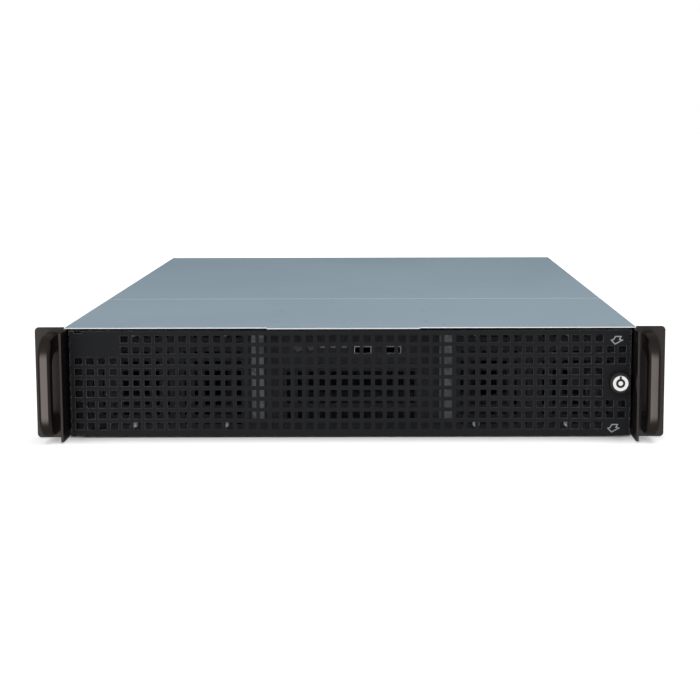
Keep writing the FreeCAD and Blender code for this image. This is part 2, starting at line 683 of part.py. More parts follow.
def make_ear(side, sign):
    body = start_body(f"{side}_ear_body")
    inner, tip = f"{sign} * {EAR_IN}", f"{sign} * ear_span / 2"
    flange = f"{sign} * ({EAR_IN} + ear_sheet)"
    profile = outline(body, f"{side}_ear_profile", "XY_Plane", (
        (inner, "0"),
        (tip, "0"),
        (tip, "ear_sheet"),
        (flange, "ear_sheet"),
        (flange, "ear_flange"),
        (inner, "ear_flange"),
    ), "ear_lift")
    folded = pad(body, f"{side}_ear_pad", profile, "ear_height")
    reach = value_of("ear_span / 2")
    dress(
        body, "PartDesign::Fillet", f"{side}_ear_corners", folded, "Radius", "ear_corner",
        lambda edge: runs_along(edge, Vector(0, 1, 0)) and near(abs(edge.CenterOfMass.x), reach),
    )
    low, high = f"{sign} * {EAR_IN} - ear_sheet * 2", f"{sign} * {EAR_IN} + ear_sheet * 2"
    flange_low = "(ear_lift + ear_flange_rise)"
    tools = [
        box(f"{side}_flange_below", (low, "ear_sheet", "-ear_sheet"),
            (high, "ear_flange + ear_sheet", flange_low)),
        box(f"{side}_flange_above", (low, "ear_sheet", f"{flange_low} + ear_flange_height"),
            (high, "ear_flange + ear_sheet", "case_height * 2")),
    ]
    for upward in ("-1", "1"):
        z = f"({EAR_MIDDLE} + {upward} * rack_rise / 2)"
        x = f"({sign} * rack_spacing / 2)"
        half_run = "(slot_length / 2 - slot_radius)"
        name = f"{side}_slot_{upward}".replace("-", "m")
        tools.append(fuse(
            name,
            box(f"{name}_run", (f"{x} - {half_run}", "-ear_sheet", f"{z} - slot_radius"),
                (f"{x} + {half_run}", "ear_sheet * 2", f"{z} + slot_radius")),
            rod(f"{name}_end_a", "y", (f"{x} - {half_run}", "-ear_sheet", z), "slot_radius", "ear_sheet * 3"),
            rod(f"{name}_end_b", "y", (f"{x} + {half_run}", "-ear_sheet", z), "slot_radius", "ear_sheet * 3"),
        ))
    return node(cut(f"{side}_ear_cut", body, *tools), f"{side}_ear")


def make_handle(side, sign):
    """An arched grip that stands out from the ear on two feet."""
    body = start_body(f"{side}_handle_body")
    low, high = f"({EAR_MIDDLE} - handle_height / 2)", f"({EAR_MIDDLE} + handle_height / 2)"
    gap_low = f"({EAR_MIDDLE} - handle_gap_height / 2)"
    gap_high = f"({EAR_MIDDLE} + handle_gap_height / 2)"
    grip = "(handle_bar - handle_reach)"
    profile = outline(body, f"{side}_handle_profile", "YZ_Plane", (
        ("0", low),
        ("-handle_reach", low),
        ("-handle_reach", high),
        ("0", high),
        ("0", gap_high),
        (grip, gap_high),
        (grip, gap_low),
        ("0", gap_low),
    ), f"{sign} * handle_centre")
    arch = pad(body, f"{side}_handle_pad", profile, "handle_width", midplane=True)
    front, inside = value_of("-handle_reach"), value_of(grip)

    def corner_at(depth):
        return lambda edge: runs_along(edge, Vector(1, 0, 0)) and near(edge.CenterOfMass.y, depth)

    outer = dress(
        body, "PartDesign::Fillet", f"{side}_handle_arch", arch, "Radius", "handle_outer_round",
        corner_at(front),
    )
    inner = dress(
        body, "PartDesign::Fillet", f"{side}_handle_hollow", outer, "Radius", "handle_inner_round",
        corner_at(inside),
    )
    middle, half = value_of(f"{sign} * handle_centre"), value_of("handle_width / 2")

    def is_long_edge(edge):
        on_side = near(abs(edge.CenterOfMass.x - middle), half)
        on_foot = near(edge.Vertexes[0].Y, 0) and near(edge.Vertexes[-1].Y, 0)
        return on_side and not on_foot

    dress(body, "PartDesign::Chamfer", f"{side}_handle_edges", inner, "Size", "handle_edge", is_long_edge)
    return node(body, f"{side}_handle")


def make_side_plate(side, sign):
    """A plate beside the door that steps inward and lies inside the tray's wall."""
    step_end = "(front_wall_depth - cover_gap)"
    step_start = f"({step_end} - joggle_length)"
    tail = "(front_wall_depth + side_tail)"
    inside, outside, tail_in = (f"{sign} * {x}" for x in (PLATE_IN, PLATE_OUT, TAIL_IN))
    body = start_body(f"{side}_plate_body")
    whole = outline(body, f"{side}_plate_profile", "XY_Plane", (
        (inside, "-side_reach"),
        (outside, "-side_reach"),
        (outside, step_start),
        (inside, step_end),
        (inside, tail),
        (tail_in, tail),
        (tail_in, step_end),
        (inside, step_start),
    ), "wall_sheet + cover_gap")
    pad(body, f"{side}_plate_pad", whole, f"{SHELF} - wall_sheet - cover_gap * 2")
    front = outline(body, f"{side}_plate_front_profile", "XY_Plane", (
        (inside, "-side_reach"),
        (outside, "-side_reach"),
        (outside, step_start),
        (inside, step_start),
    ), "side_lift")
    pad(body, f"{side}_plate_front", front, f"{LIP_TOP} - side_lift")
    return node(body, f"{side}_side_plate")


def column_x(column):
    return (column - (DOOR_COLUMNS + 1) / 2) * value_of("hole_pitch")


def row_z(row):
    middle = value_of(f"(door_lift + {DOOR_TOP}) / 2 + row_shift")
    return middle + ((DOOR_ROWS + 1) / 2 - row) * value_of("row_pitch")


def is_open(column, row):
    """Whether the door has a hole there. Two areas are left plain."""
    if row in LOGO_ROWS and column in LOGO_COLUMNS:
        return False
    return not (row in LOCK_BLANK_ROWS and column in LOCK_COLUMNS)


def ring(x, z, width, height):
    """A closed rectangle on the ear plane about a middle point."""
    y = value_of(EAR_PLANE)
    left, right, low, high = x - width / 2, x + width / 2, z - height / 2, z + height / 2
    corners = [Vector(left, y, low), Vector(right, y, low), Vector(right, y, high), Vector(left, y, high)]
    return Part.makePolygon(corners + corners[:1])


def make_door_face():
    """The flat of the door with every hole that lies clear of its side bends."""
    width, height = value_of("hole_width"), value_of("hole_height")
    low, high = value_of("door_lift"), value_of(DOOR_TOP)
    rings = [ring(0, (low + high) / 2, value_of(DOOR_HALF) * 2, high - low)]
    for column in range(2, DOOR_COLUMNS):
        for row in range(1, DOOR_ROWS + 1):
            if is_open(column, row):
                rings.append(ring(column_x(column), row_z(row), width, height))
    face = doc.addObject("Part::Feature", "door_face")
    face.Shape = Part.Face(rings, "Part::FaceMakerBullseye").extrude(Vector(0, value_of("door_sheet"), 0))
    return face


def door_edge_holes():
    """The outermost columns fall on the side bends and notch them."""
    depth, width, height = value_of("door_sheet"), value_of("hole_width"), value_of("hole_height")
    prisms = []
    for column in (1, DOOR_COLUMNS):
        for row in range(1, DOOR_ROWS + 1):
            x, z = column_x(column), row_z(row)
            corner = Vector(x - width / 2, value_of(EAR_PLANE) - depth, z - height / 2)
            prisms.append(Part.makeBox(width, depth * 2.5, height, corner))
    notches = doc.addObject("Part::Feature", "door_notches")
    notches.Shape = Part.Compound(prisms)
    return notches


def make_door():
    """One perforated sheet with its edges folded back."""
    fold_low, fold_high = "(door_lift + door_fold_relief)", f"({DOOR_TOP} - door_fold_relief)"
    pieces = [
        make_door_face(),
        box("door_bottom_fold", (f"-{DOOR_HALF}", "door_sheet", "door_lift"),
            (DOOR_HALF, "door_fold", "door_lift + door_sheet")),
        box("door_top_fold", (f"-{DOOR_HALF}", "door_sheet", f"{DOOR_TOP} - door_sheet"),
            (DOOR_HALF, "door_fold", DOOR_TOP)),
        box("door_left_fold", (f"-{DOOR_HALF}", "door_sheet", fold_low),
            (f"door_sheet - {DOOR_HALF}", "door_fold", fold_high)),
        box("door_right_fold", (f"{DOOR_HALF} - door_sheet", "door_sheet", fold_low),
            (DOOR_HALF, "door_fold", fold_high)),
    ]
    folded = fuse("door_folded", *pieces)
    folded.Refine = False
    side, front = value_of(DOOR_HALF), value_of(EAR_PLANE)
    doc.recompute()
    bent = doc.addObject("Part::Chamfer", "door_bends")
    bent.Base = folded
    bevel = value_of("door_bend")
    bent.Edges = [
        (number, bevel, bevel) for number, edge in enumerate(folded.Shape.Edges, start=1)
        if near(abs(edge.CenterOfMass.x), side) and near(edge.CenterOfMass.y, front)
        and runs_along(edge, Vector(0, 0, 1))
    ]
    ways = [
        rod("lock_way", "y", ("lock_centre", "-door_sheet", "lock_height"), "lock_body_radius + cover_gap",
            "door_sheet * 3"),
        rod("pin_way_low", "z", (HINGE_X, "hinge_depth", "0"), "pin_radius + pin_play",
            "door_lift + door_sheet * 2"),
        rod("pin_way_high", "z", (HINGE_X, "hinge_depth", f"{DOOR_TOP} - door_sheet * 2"),
            "pin_radius + pin_play", "door_sheet * 3"),
    ]
    return node(cut("door_pierced", bent, door_edge_holes(), *ways), "door_panel")


def make_hinge(level, arm_low, foot_low, pin_low):
    """A bracket on the front wall and the pin that the door turns on."""
    left = f"({HINGE_X} - hinge_tip_radius)"
    right = f"({left} + hinge_arm_width)"
    arm_high = f"({arm_low} + hinge_sheet)"
    arm = box(f"{level}_arm", (left, "hinge_depth", arm_low), (right, "front_wall_depth", arm_high))
    tip = rod(f"{level}_tip", "z", (HINGE_X, "hinge_depth", arm_low), "hinge_tip_radius", "hinge_sheet")
    foot = box(f"{level}_foot", (left, "front_wall_depth - hinge_sheet", foot_low),
               (right, "front_wall_depth", f"{foot_low} + hinge_foot_height"))
    way = rod(f"{level}_pin_way", "z", (HINGE_X, "hinge_depth", f"{arm_low} - hinge_sheet"),
              "pin_radius + pin_play", "hinge_sheet * 3")
    bracket = fuse(f"{level}_bracket", arm, tip, foot)
    node(cut(f"{level}_bracket_cut", bracket, way), f"{level}_hinge_bracket")
    pin = rod(f"{level}_pin", "z", (HINGE_X, "hinge_depth", pin_low), "pin_radius",
              "door_sheet + hinge_gap + hinge_sheet")
    node(pin, f"{level}_hinge_pin")


def make_lock():
    def lock_rod(name, start, radius, length):
        return rod(name, "y", ("lock_centre", start, "lock_height"), radius, length)

    def square_tail(name, start, side):
        return box(name, (f"lock_centre - {side} / 2", start, f"lock_height - {side} / 2"),
                   (f"lock_centre + {side} / 2", f"{CAM_FRONT} + cam_sheet", f"lock_height + {side} / 2"))

    collar = lock_rod("lock_collar", "-lock_collar_length", "lock_collar_radius", "lock_collar_length")
    stem = lock_rod("lock_stem", "0", "lock_body_radius", "lock_body_length")
    bore = lock_rod("lock_bore", "-lock_collar_length * 2", "lock_bore_radius", "lock_collar_length * 6")
    node(cut("lock_barrel_cut", fuse("lock_barrel_whole", collar, stem), bore), "lock_barrel")

    nut = hexagon("nut_prism", "y", ("lock_centre", "door_sheet", "lock_height"), "nut_flats", "nut_height")
    nut_way = lock_rod("nut_way", "0", "lock_body_radius + pin_play", "nut_height * 3")
    node(cut("nut_cut", nut, nut_way), "lock_nut")

    cap_front = "(-lock_collar_length - plug_cap_length)"
    cap = lock_rod("plug_cap", cap_front, "plug_cap_radius", "plug_cap_length")
    plug = lock_rod("plug_body", "-lock_collar_length", "lock_bore_radius - pin_play",
                    "lock_collar_length + lock_body_length")
    tail = square_tail("plug_tail", "lock_body_length", "cam_square")
    ring = lock_rod("keyway_ring", f"{cap_front} - plug_cap_length", "keyway_radius",
                    "plug_cap_length + keyway_depth")
    post = lock_rod("keyway_post", f"{cap_front} - plug_cap_length * 2", "keyway_post_radius",
                    "plug_cap_length * 4 + keyway_depth")
    keyway = cut("keyway", ring, post)
    notch = box("keyway_notch", ("lock_centre - keyway_notch / 2", f"{cap_front} - plug_cap_length",
                                 "lock_height + keyway_radius - keyway_notch / 2"),
                ("lock_centre + keyway_notch / 2", f"{cap_front} + plug_cap_length / 2",
                 "lock_height + plug_cap_radius - keyway_notch / 2"))
    node(cut("plug_cut", fuse("plug_whole", cap, plug, tail), keyway, notch), "lock_plug")

    blade = box("cam_blade", ("lock_centre - cam_width / 2", CAM_FRONT, "lock_height - cam_reach"),
                ("lock_centre + cam_width / 2", f"{CAM_FRONT} + cam_sheet", "lock_height"))
    eye = lock_rod("cam_eye", CAM_FRONT, "cam_width / 2", "cam_sheet")
    eye_way = square_tail("cam_eye_way", "lock_body_length", "(cam_square + pin_play * 2)")
    node(cut("cam_cut", fuse("cam_whole", blade, eye), eye_way), "lock_cam")

    low, high = "lock_height - catch_height / 2", "lock_height + catch_height / 2"
    stand_x = "(lock_centre - cam_reach - catch_gap - catch_sheet)"
    lip_front = f"({CAM_FRONT} - catch_gap - catch_sheet)"
    foot = box("catch_foot_plate", (f"{stand_x} - catch_foot", "front_wall_depth - catch_sheet", low),
               (f"{stand_x} + catch_sheet", "front_wall_depth", high))
    arm = box("catch_arm", (stand_x, lip_front, low), (f"{stand_x} + catch_sheet", "front_wall_depth", high))
    lip = box("catch_lip", (stand_x, lip_front, low),
              (f"{stand_x} + catch_sheet + catch_gap + catch_lap", f"{lip_front} + catch_sheet", high))
    node(fuse("catch_folded", foot, arm, lip), "lock_catch")


def blade_shape():
    """A pitched, hollow-faced blade whose section runs out along X from the axis."""
    across, along = value_of("blade_chord_width / 2"), value_of("blade_chord_depth / 2")
    thick = value_of("blade_thickness")
    first, last = Vector(0, -along, -across), Vector(0, along, across)
    normal = Vector(0, -across, along).normalize()
    face_bulge, back_bulge = normal * thick, normal * thick * 2
    face_arc = Part.Arc(first, face_bulge, last).toShape()
    back_arc = Part.Arc(last, back_bulge, first).toShape()
    section = Part.Face(Part.Wire([face_arc, back_arc]))
    root = value_of("fan_hub_radius - blade_thickness")
    tip = value_of("fan_bore_radius - fan_tip_gap")
    section.translate(Vector(root, 0, 0))
    return section.extrude(Vector(tip - root, 0, 0))


def make_fan(side, sign):
    centre = f"({sign} * fan_centre)"
    half = "fan_size / 2"

    def fan_rod(name, start, radius, length):
        return rod(f"{side}_{name}", "y", (centre, start, "fan_height"), radius, length)

    frame = box(f"{side}_fan_box", (f"{centre} - {half}", WALL_BACK, f"fan_height - {half}"),
                (f"{centre} + {half}", FAN_BACK, f"fan_height + {half}"))
    bore = fan_rod("fan_bore", f"{WALL_BACK} - fan_strut", "fan_bore_radius", "fan_depth * 2")
    strut_front = f"({FAN_BACK} - fan_strut)"
    level = box(f"{side}_strut_level",
                (f"{centre} - fan_bore_radius", strut_front, "fan_height - fan_strut / 2"),
                (f"{centre} + fan_bore_radius", FAN_BACK, "fan_height + fan_strut / 2"))
    upright = box(f"{side}_strut_upright",
                  (f"{centre} - fan_strut / 2", strut_front, "fan_height - fan_bore_radius"),
                  (f"{centre} + fan_strut / 2", FAN_BACK, "fan_height + fan_bore_radius"))
    mount = fan_rod("fan_mount", strut_front, "fan_mount_radius", "fan_strut")
    rim = cut(f"{side}_fan_rim", frame, bore)
    node(fuse(f"{side}_fan_carried", rim, level, upright, mount), f"{side}_fan_frame")

    hub_front = f"({WALL_BACK} + fan_recess)"
    hub_back = f"({strut_front} - fan_play)"
    hub = fan_rod("fan_hub", hub_front, "fan_hub_radius", f"{hub_back} - {hub_front}")
    middle = value_of(f"{EAR_PLANE} + ({hub_front} + {hub_back}) / 2")
    axis_point = Vector(value_of(centre), middle, value_of("fan_height"))
    blades = doc.addObject("Part::Feature", f"{side}_fan_blades")
    turned = []
    for i in range(BLADES):
        blade = blade_shape()
        blade.rotate(Vector(), Vector(0, 1, 0), 360 / BLADES * i)
        turned.append(blade)
    blades.Shape = Part.Compound(turned)
    blades.Placement = Placement(axis_point, Rotation())
    node(fuse(f"{side}_fan_rotor_whole", hub, blades), f"{side}_fan_rotor")


def make_centre_grille():
    low, high = "(wall_sheet + cage_sheet + panel_gap)", "(panel_split - panel_gap / 2)"
    front, back = "front_wall_depth", "(front_wall_depth + panel_rim)"
    pieces = [
        box("grille_face", (f"-{PANEL_HALF}", front, low), (PANEL_HALF, f"{front} + grille_sheet", high)),
        box("grille_left", (f"-{PANEL_HALF}", front, low), (f"grille_sheet - {PANEL_HALF}", back, high)),
        box("grille_right", (f"{PANEL_HALF} - grille_sheet", front, low), (PANEL_HALF, back, high)),
    ]
    folded = fuse("grille_folded", *pieces)
    slots = []
    for column in range(GRILLE_COLUMNS):
        x = f"({column - (GRILLE_COLUMNS - 1) / 2} * grille_pitch)"
        for line in range(GRILLE_ROWS):
            z = f"(({low} + {high}) / 2 + {line - (GRILLE_ROWS - 1) / 2} * grille_row_pitch)"
            slots.append(box(
                f"grille_slot_{column}_{line}",
                (f"{x} - grille_slot_width / 2", f"{front} - grille_sheet", f"{z} - grille_slot_height / 2"),
                (f"{x} + grille_slot_width / 2", f"{front} + grille_sheet * 2",
                 f"{z} + grille_slot_height / 2"),
            ))
    return node(cut("grille_cut", folded, *slots), "centre_grille")


def make_control_panel():
    """Moulded panel with two buttons, lamps and ports, and the board behind it."""
    front, back = "front_wall_depth", BOARD_FRONT
    low, high = "(panel_split + panel_gap / 2)", "panel_top_edge"
    block = box("panel_block", (f"-{PANEL_HALF}", front, low), (PANEL_HALF, back, high))
    hollow = box("panel_hollow", (f"panel_rim_sheet - {PANEL_HALF}", f"{front} + panel_thickness",
                                  f"{low} + panel_rim_sheet"),
                 (f"{PANEL_HALF} - panel_rim_sheet", f"{back} + panel_rim", f"{high} - panel_rim_sheet"))
    tools = [hollow]
    for name in ("power", "reset"):
        tools.append(rod(f"{name}_way", "y", (f"{name}_centre", f"{front} - panel_rim", "button_height"),
                         f"{name}_radius + button_play", "panel_rim + panel_thickness * 2"))
    lamps = []
    for i in range(LAMPS):
        x = f"(led_start + {i} * led_pitch)"
        tools.append(box(f"led_way_{i}", (f"{x} - led_width / 2 - pin_play", f"{front} - panel_rim",
                                          "led_height - led_rise / 2 - pin_play"),
                         (f"{x} + led_width / 2 + pin_play", back, "led_height + led_rise / 2 + pin_play")))
        lamps.append(box(f"led_{i}",
                         (f"{x} - led_width / 2", f"{front} - cover_gap", "led_height - led_rise / 2"),
                         (f"{x} + led_width / 2", back, "led_height + led_rise / 2")))
    shells = []
    for i in range(PORTS):
        x = f"(port_start + {i} * port_pitch)"
        wide, tall = "port_width / 2", "port_rise / 2"
        tools.append(box(f"port_way_{i}", (f"{x} - {wide} - port_play", f"{front} - panel_rim",
                                           f"port_height - {tall} - port_play"),
                         (f"{x} + {wide} + port_play", f"{front} + panel_rim",
                          f"port_height + {tall} + port_play")))
        shell = box(f"port_shell_{i}", (f"{x} - {wide}", f"{front} - port_play", f"port_height - {tall}"),
                    (f"{x} + {wide}", back, f"port_height + {tall}"))
        inside = box(f"port_inside_{i}", (f"{x} - {wide} + port_sheet", f"{front} - panel_rim",
                                          f"port_height - {tall} + port_sheet"),
                     (f"{x} + {wide} - port_sheet", f"{back} - port_sheet",
                      f"port_height + {tall} - port_sheet"))
        tongue = box(f"port_tongue_{i}",
                     (f"{x} - {wide} + port_tongue", f"{front} + port_play", "port_height"),
                     (f"{x} + {wide} - port_tongue", back, "port_height + port_tongue"))
        shells.append(fuse(f"port_{i}", cut(f"port_hollow_{i}", shell, inside), tongue))
    node(cut("panel_cut", block, *tools), "control_panel")
    node(group("lamp_set", *lamps), "status_lamps")
    node(group("port_set", *shells), "front_ports")
    board = box("board_plate", (f"panel_rim_sheet - {PANEL_HALF}", back, f"{low} + board_gap"),
                (f"{PANEL_HALF} - panel_rim_sheet", f"{back} + board_sheet", f"{high} - board_gap"))
    node(board, "control_board")
    for name in ("power", "reset"):
        cap = rod(f"{name}_cap", "y", (f"{name}_centre", f"{front} - button_proud", "button_height"),
                  f"{name}_radius", "button_proud + panel_thickness + button_rim")
        reach = f"({name}_radius + button_rim)"
        rim_front = f"({front} + panel_thickness + pin_play)"
        rim = box(f"{name}_rim", (f"{name}_centre - {reach}", rim_front, f"button_height - {reach}"),
                  (f"{name}_centre + {reach}", f"{rim_front} + button_rim", f"button_height + {reach}"))
        node(fuse(f"{name}_whole", cap, rim), f"{name}_button")


make_tray()
make_rear_panel()
make_slot_blanks()
make_board_posts()
make_front_wall()
make_cross_brace()
make_front_top_panel()
make_top_cover()
make_cover_screw()
make_drive_cage("centre_drive_cage", "0", f"({WALL_BACK} + cover_gap)", "cage_ear")
make_drive_cage("left_drive_cage", "-fan_centre", CAGE_FRONT, "cage_flange")
make_drive_cage("right_drive_cage", "fan_centre", CAGE_FRONT, "cage_flange")
make_centre_grille()
make_control_panel()
for side, sign in SIDES:
    make_fan(side, sign)
    make_ear(side, sign)
    make_handle(side, sign)
    make_side_plate(side, sign)
make_door()
ARM_LOW = "(door_lift + door_sheet + hinge_gap)"
ARM_HIGH = f"({DOOR_TOP} - door_sheet - hinge_gap - hinge_sheet)"
make_hinge("lower", ARM_LOW, ARM_LOW, "door_lift")
make_hinge("upper", ARM_HIGH, f"({ARM_HIGH} + hinge_sheet - hinge_foot_height)", ARM_HIGH)
make_lock()
doc.recompute()

for thing in doc.Objects:
    if "Invalid" in thing.State or "Error" in thing.State:
        raise RuntimeError(f"{thing.Label} did not rebuild: {thing.State}")
for name, thing in NODES.items():
    if thing.Shape.isNull() or not thing.Shape.isValid():
        raise RuntimeError(f"{name} has no sound shape")

os.makedirs("parts", exist_ok=True)
for name, thing in NODES.items():
    thing.Shape.exportStep(f"parts/{name}.step")
print(f"{len(NODES)} sub-parts written")
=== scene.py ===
"""An empty two-unit rackmount server case: finishes, small pieces, stage, lights and camera.

Lengths are in metres. The door faces -Y, +Z is up and +X is to the right as seen from the front.
"""

import json
import math

import bmesh
import bpy
from mathutils import Matrix, Vector


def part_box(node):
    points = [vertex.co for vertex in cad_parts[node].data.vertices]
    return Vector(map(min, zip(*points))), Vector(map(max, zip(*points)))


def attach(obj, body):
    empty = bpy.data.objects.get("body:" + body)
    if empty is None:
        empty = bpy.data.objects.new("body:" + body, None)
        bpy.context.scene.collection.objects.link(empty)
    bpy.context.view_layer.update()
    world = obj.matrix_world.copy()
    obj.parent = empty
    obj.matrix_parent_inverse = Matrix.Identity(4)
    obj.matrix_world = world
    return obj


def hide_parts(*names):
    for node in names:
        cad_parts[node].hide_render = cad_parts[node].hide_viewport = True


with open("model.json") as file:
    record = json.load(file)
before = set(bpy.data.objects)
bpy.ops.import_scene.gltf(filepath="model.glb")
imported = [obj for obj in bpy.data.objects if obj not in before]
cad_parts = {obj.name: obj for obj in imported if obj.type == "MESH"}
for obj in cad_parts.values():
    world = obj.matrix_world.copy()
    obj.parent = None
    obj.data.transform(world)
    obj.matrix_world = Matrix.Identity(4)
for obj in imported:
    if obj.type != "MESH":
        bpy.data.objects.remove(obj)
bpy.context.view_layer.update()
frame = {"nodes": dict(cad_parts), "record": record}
NODES = frame["nodes"]

MM = 0.001
UP = Vector((0, 0, 1))
FORWARD = Vector((0, -1, 0))
BACKWARD = Vector((0, 1, 0))
LEFTWARD = Vector((-1, 0, 0))
RIGHTWARD = Vector((1, 0, 0))
WHITE = (1.0, 1.0, 1.0, 1.0)

# Shader sums


class Wire:
    """A socket of a finish that takes part in Python sums, each of which adds its Math node."""

    def __init__(self, finish, socket):
        self.finish = finish
        self.socket = socket

    def sum(self, operation, first, second):
        return self.finish.node("ShaderNodeMath", {"operation": operation}, {0: first, 1: second})

    def __add__(self, other):
        return self.sum("ADD", self, other)

    def __radd__(self, other):
        return self.sum("ADD", other, self)

    def __sub__(self, other):
        return self.sum("SUBTRACT", self, other)

    def __mul__(self, other):
        return self.sum("MULTIPLY", self, other)

    def __rmul__(self, other):
        return self.sum("MULTIPLY", other, self)

    def above(self, level):
        return self.sum("GREATER_THAN", self, level)

    def below(self, level):
        return self.sum("LESS_THAN", self, level)

    def part(self, axis):
        """One coordinate of a vector socket, named X, Y or Z."""
        split = self.finish.node("ShaderNodeSeparateXYZ", {}, {0: self})
        return Wire(self.finish, split.socket.node.outputs[axis])


class Finish:
    """A material whose pattern reads object coordinates, with its even values set on the shader."""

    def __init__(self, name, **even):
        self.material = bpy.data.materials.new(name)
        self.material.use_nodes = True
        self.tree = self.material.node_tree
        self.shader = self.tree.nodes["Principled BSDF"]
        for socket, value in even.items():
            self.shader.inputs[socket.replace("_", " ")].default_value = value
        place = self.tree.nodes.new("ShaderNodeTexCoord")
        self.place = Wire(self, place.outputs["Object"])

    def node(self, kind, settings, values, output=0):
        made = self.tree.nodes.new(kind)
        for name, setting in settings.items():
            setattr(made, name, setting)
        for name, value in values.items():
            if isinstance(value, Wire):
                self.tree.links.new(value.socket, made.inputs[name])
            else:
                made.inputs[name].default_value = value
        return Wire(self, made.outputs[output])

    def size_of(self, value):
        return self.node("ShaderNodeMath", {"operation": "ABSOLUTE"}, {0: value})

    def ramp(self, value, low, high):
        """The value spread from 0 at low to 1 at high."""
        settings = {"clamp": True}
        return self.node("ShaderNodeMapRange", settings, {"Value": value, "From Min": low, "From Max": high})

    def noise(self, size, detail=2.0, stretch=(1, 1, 1)):
        """Soft noise whose lumps are about size metres across."""
        place = self.node("ShaderNodeMapping", {}, {"Vector": self.place, "Scale": stretch})
        values = {"Vector": place, "Scale": 1 / size, "Detail": detail}
        return self.node("ShaderNodeTexNoise", {}, values)

    def blend(self, mask, first, second):
        """The first colour where the mask is 0 and the second where it is 1."""
        return self.node("ShaderNodeMix", {"data_type": "RGBA"}, {0: mask, 6: first, 7: second}, 2)

    def feed(self, **sockets):
        for socket, value in sockets.items():
            self.tree.links.new(value.socket, self.shader.inputs[socket.replace("_", " ")])

    def bump(self, height, depth):
        """Relief of about depth metres, from a height between 0 and 1."""
        self.feed(Normal=self.node("ShaderNodeBump", {}, {"Height": height, "Distance": depth}))


def rgb(red, green, blue):
    return (red, green, blue, 1.0)


# Finishes

# Where the painted highlight on the front bends and the painted shade on the lip and the side bends lie;
# SHADE is the colour of that painted shade
PANEL_BEND = 0.7 * MM
COVER_BEND = 0.8 * MM
LIP_SHADE = 84.85 * MM
LIP_STEP = 0.95 * MM
LIP_STEP_ENDS = (-63.5 * MM, 53.6 * MM)
SIDE_BEND = 1.0 * MM
SIDE_SHADE = 0.45
SHADE = rgb(0.012, 0.014, 0.016)
PAINT_CLOUD = 130 * MM
PAINT_SPECK = 0.55 * MM
PAINT_GLOSS = 0.15
GLOSS_CLOUD = 22 * MM
PEEL = 0.9 * MM
PEEL_RELIEF = 0.004 * MM
POWDER_CLOUD = 60 * MM
SPANGLE = 7 * MM
ROLLING_LINE = 0.5 * MM
ROLLING_RELIEF = 0.004 * MM
PLATING_CLOUD = 9 * MM
SCUFF = 1.2 * MM
SCUFF_RELIEF = 0.003 * MM
MOULD_FLOW = 18 * MM
MOULD_GRAIN = 0.35 * MM
# How the painted highlight on the door's hole edges wavers, and how far from the middle of the door it starts
# and is full
RIM_HIGHLIGHT_CLOUD = 6 * MM
RIM_HIGHLIGHT_START = 0.08
RIM_HIGHLIGHT_FULL = 0.21
TRACK_PITCH = 3 * MM
TRACK_LEVEL = 0.72
TRACK_RELIEF = 0.02 * MM


def smooth_paint(name, light, dark, bend_highlight_colour, roughness):
    """Stoved paint: faint clouds and specks, a little orange peel, a painted highlight on the front bends,
    painted shade on the side bends.

    Below LIP_SHADE the front lip is painted in SHADE, as painted shade of the dark gap over the door. Its
    middle stretch is LIP_STEP lower.
    """
    finish = Finish(name, Metallic=0.0, Specular_IOR_Level=PAINT_GLOSS)
    clouds = finish.noise(PAINT_CLOUD, detail=1.0)
    specks = finish.noise(PAINT_SPECK, detail=1.0)
    tone = finish.ramp(clouds * 0.75 + specks * 0.25, 0.38, 0.62)
    depth = finish.place.part("Y")
    # Painted highlight: the front bends of the front top panel and of the top cover take the highlight
    # colour, for the light that they catch
    bend_highlight = 0
    for sheet, reach in (("front_top_panel", PANEL_BEND), ("top_cover", COVER_BEND)):
        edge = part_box(sheet)[0].y
        bend_highlight = bend_highlight + depth.above(edge - reach) * depth.below(edge + reach)
    low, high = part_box("front_top_panel")
    across = finish.place.part("X")
    # Painted shade: a strip SIDE_BEND wide at each side of the front top panel is darkened towards SHADE
    side_shade_mask = across.above(high.x - SIDE_BEND) + across.below(low.x + SIDE_BEND)
    coat = finish.blend(side_shade_mask * SIDE_SHADE, finish.blend(tone, dark, light), SHADE)
    lowered = across.above(LIP_STEP_ENDS[0]) * across.below(LIP_STEP_ENDS[1])
    height = finish.place.part("Z") + lowered * LIP_STEP
    # Painted shade: the front lip below LIP_SHADE is painted in SHADE
    lip = depth.below(low.y + PANEL_BEND) * height.below(LIP_SHADE)
    coat = finish.blend(bend_highlight * height.above(LIP_SHADE), coat, bend_highlight_colour)
    finish.feed(Base_Color=finish.blend(lip, coat, SHADE))
    finish.feed(Roughness=roughness + 0.09 * (finish.noise(GLOSS_CLOUD, detail=3.0) - 0.5))
    finish.bump(finish.noise(PEEL), PEEL_RELIEF)
    return finish.material


def powder_coat(name, light, dark, roughness, grain, relief, gloss, metal=0.0):
    """Powder coat or satin anodising: small grains in the colour, the gloss and the relief."""
    finish = Finish(name, Metallic=metal, Specular_IOR_Level=gloss)
    grains = finish.noise(grain)
    clouds = finish.noise(POWDER_CLOUD)
    tone = finish.ramp(grains * 0.6 + clouds * 0.4, 0.40, 0.62)
    finish.feed(Base_Color=finish.blend(tone, dark, light))
    finish.feed(Roughness=roughness + 0.12 * (clouds - 0.5) + 0.10 * (grains - 0.5))
    finish.bump(grains, relief)
    return finish.material


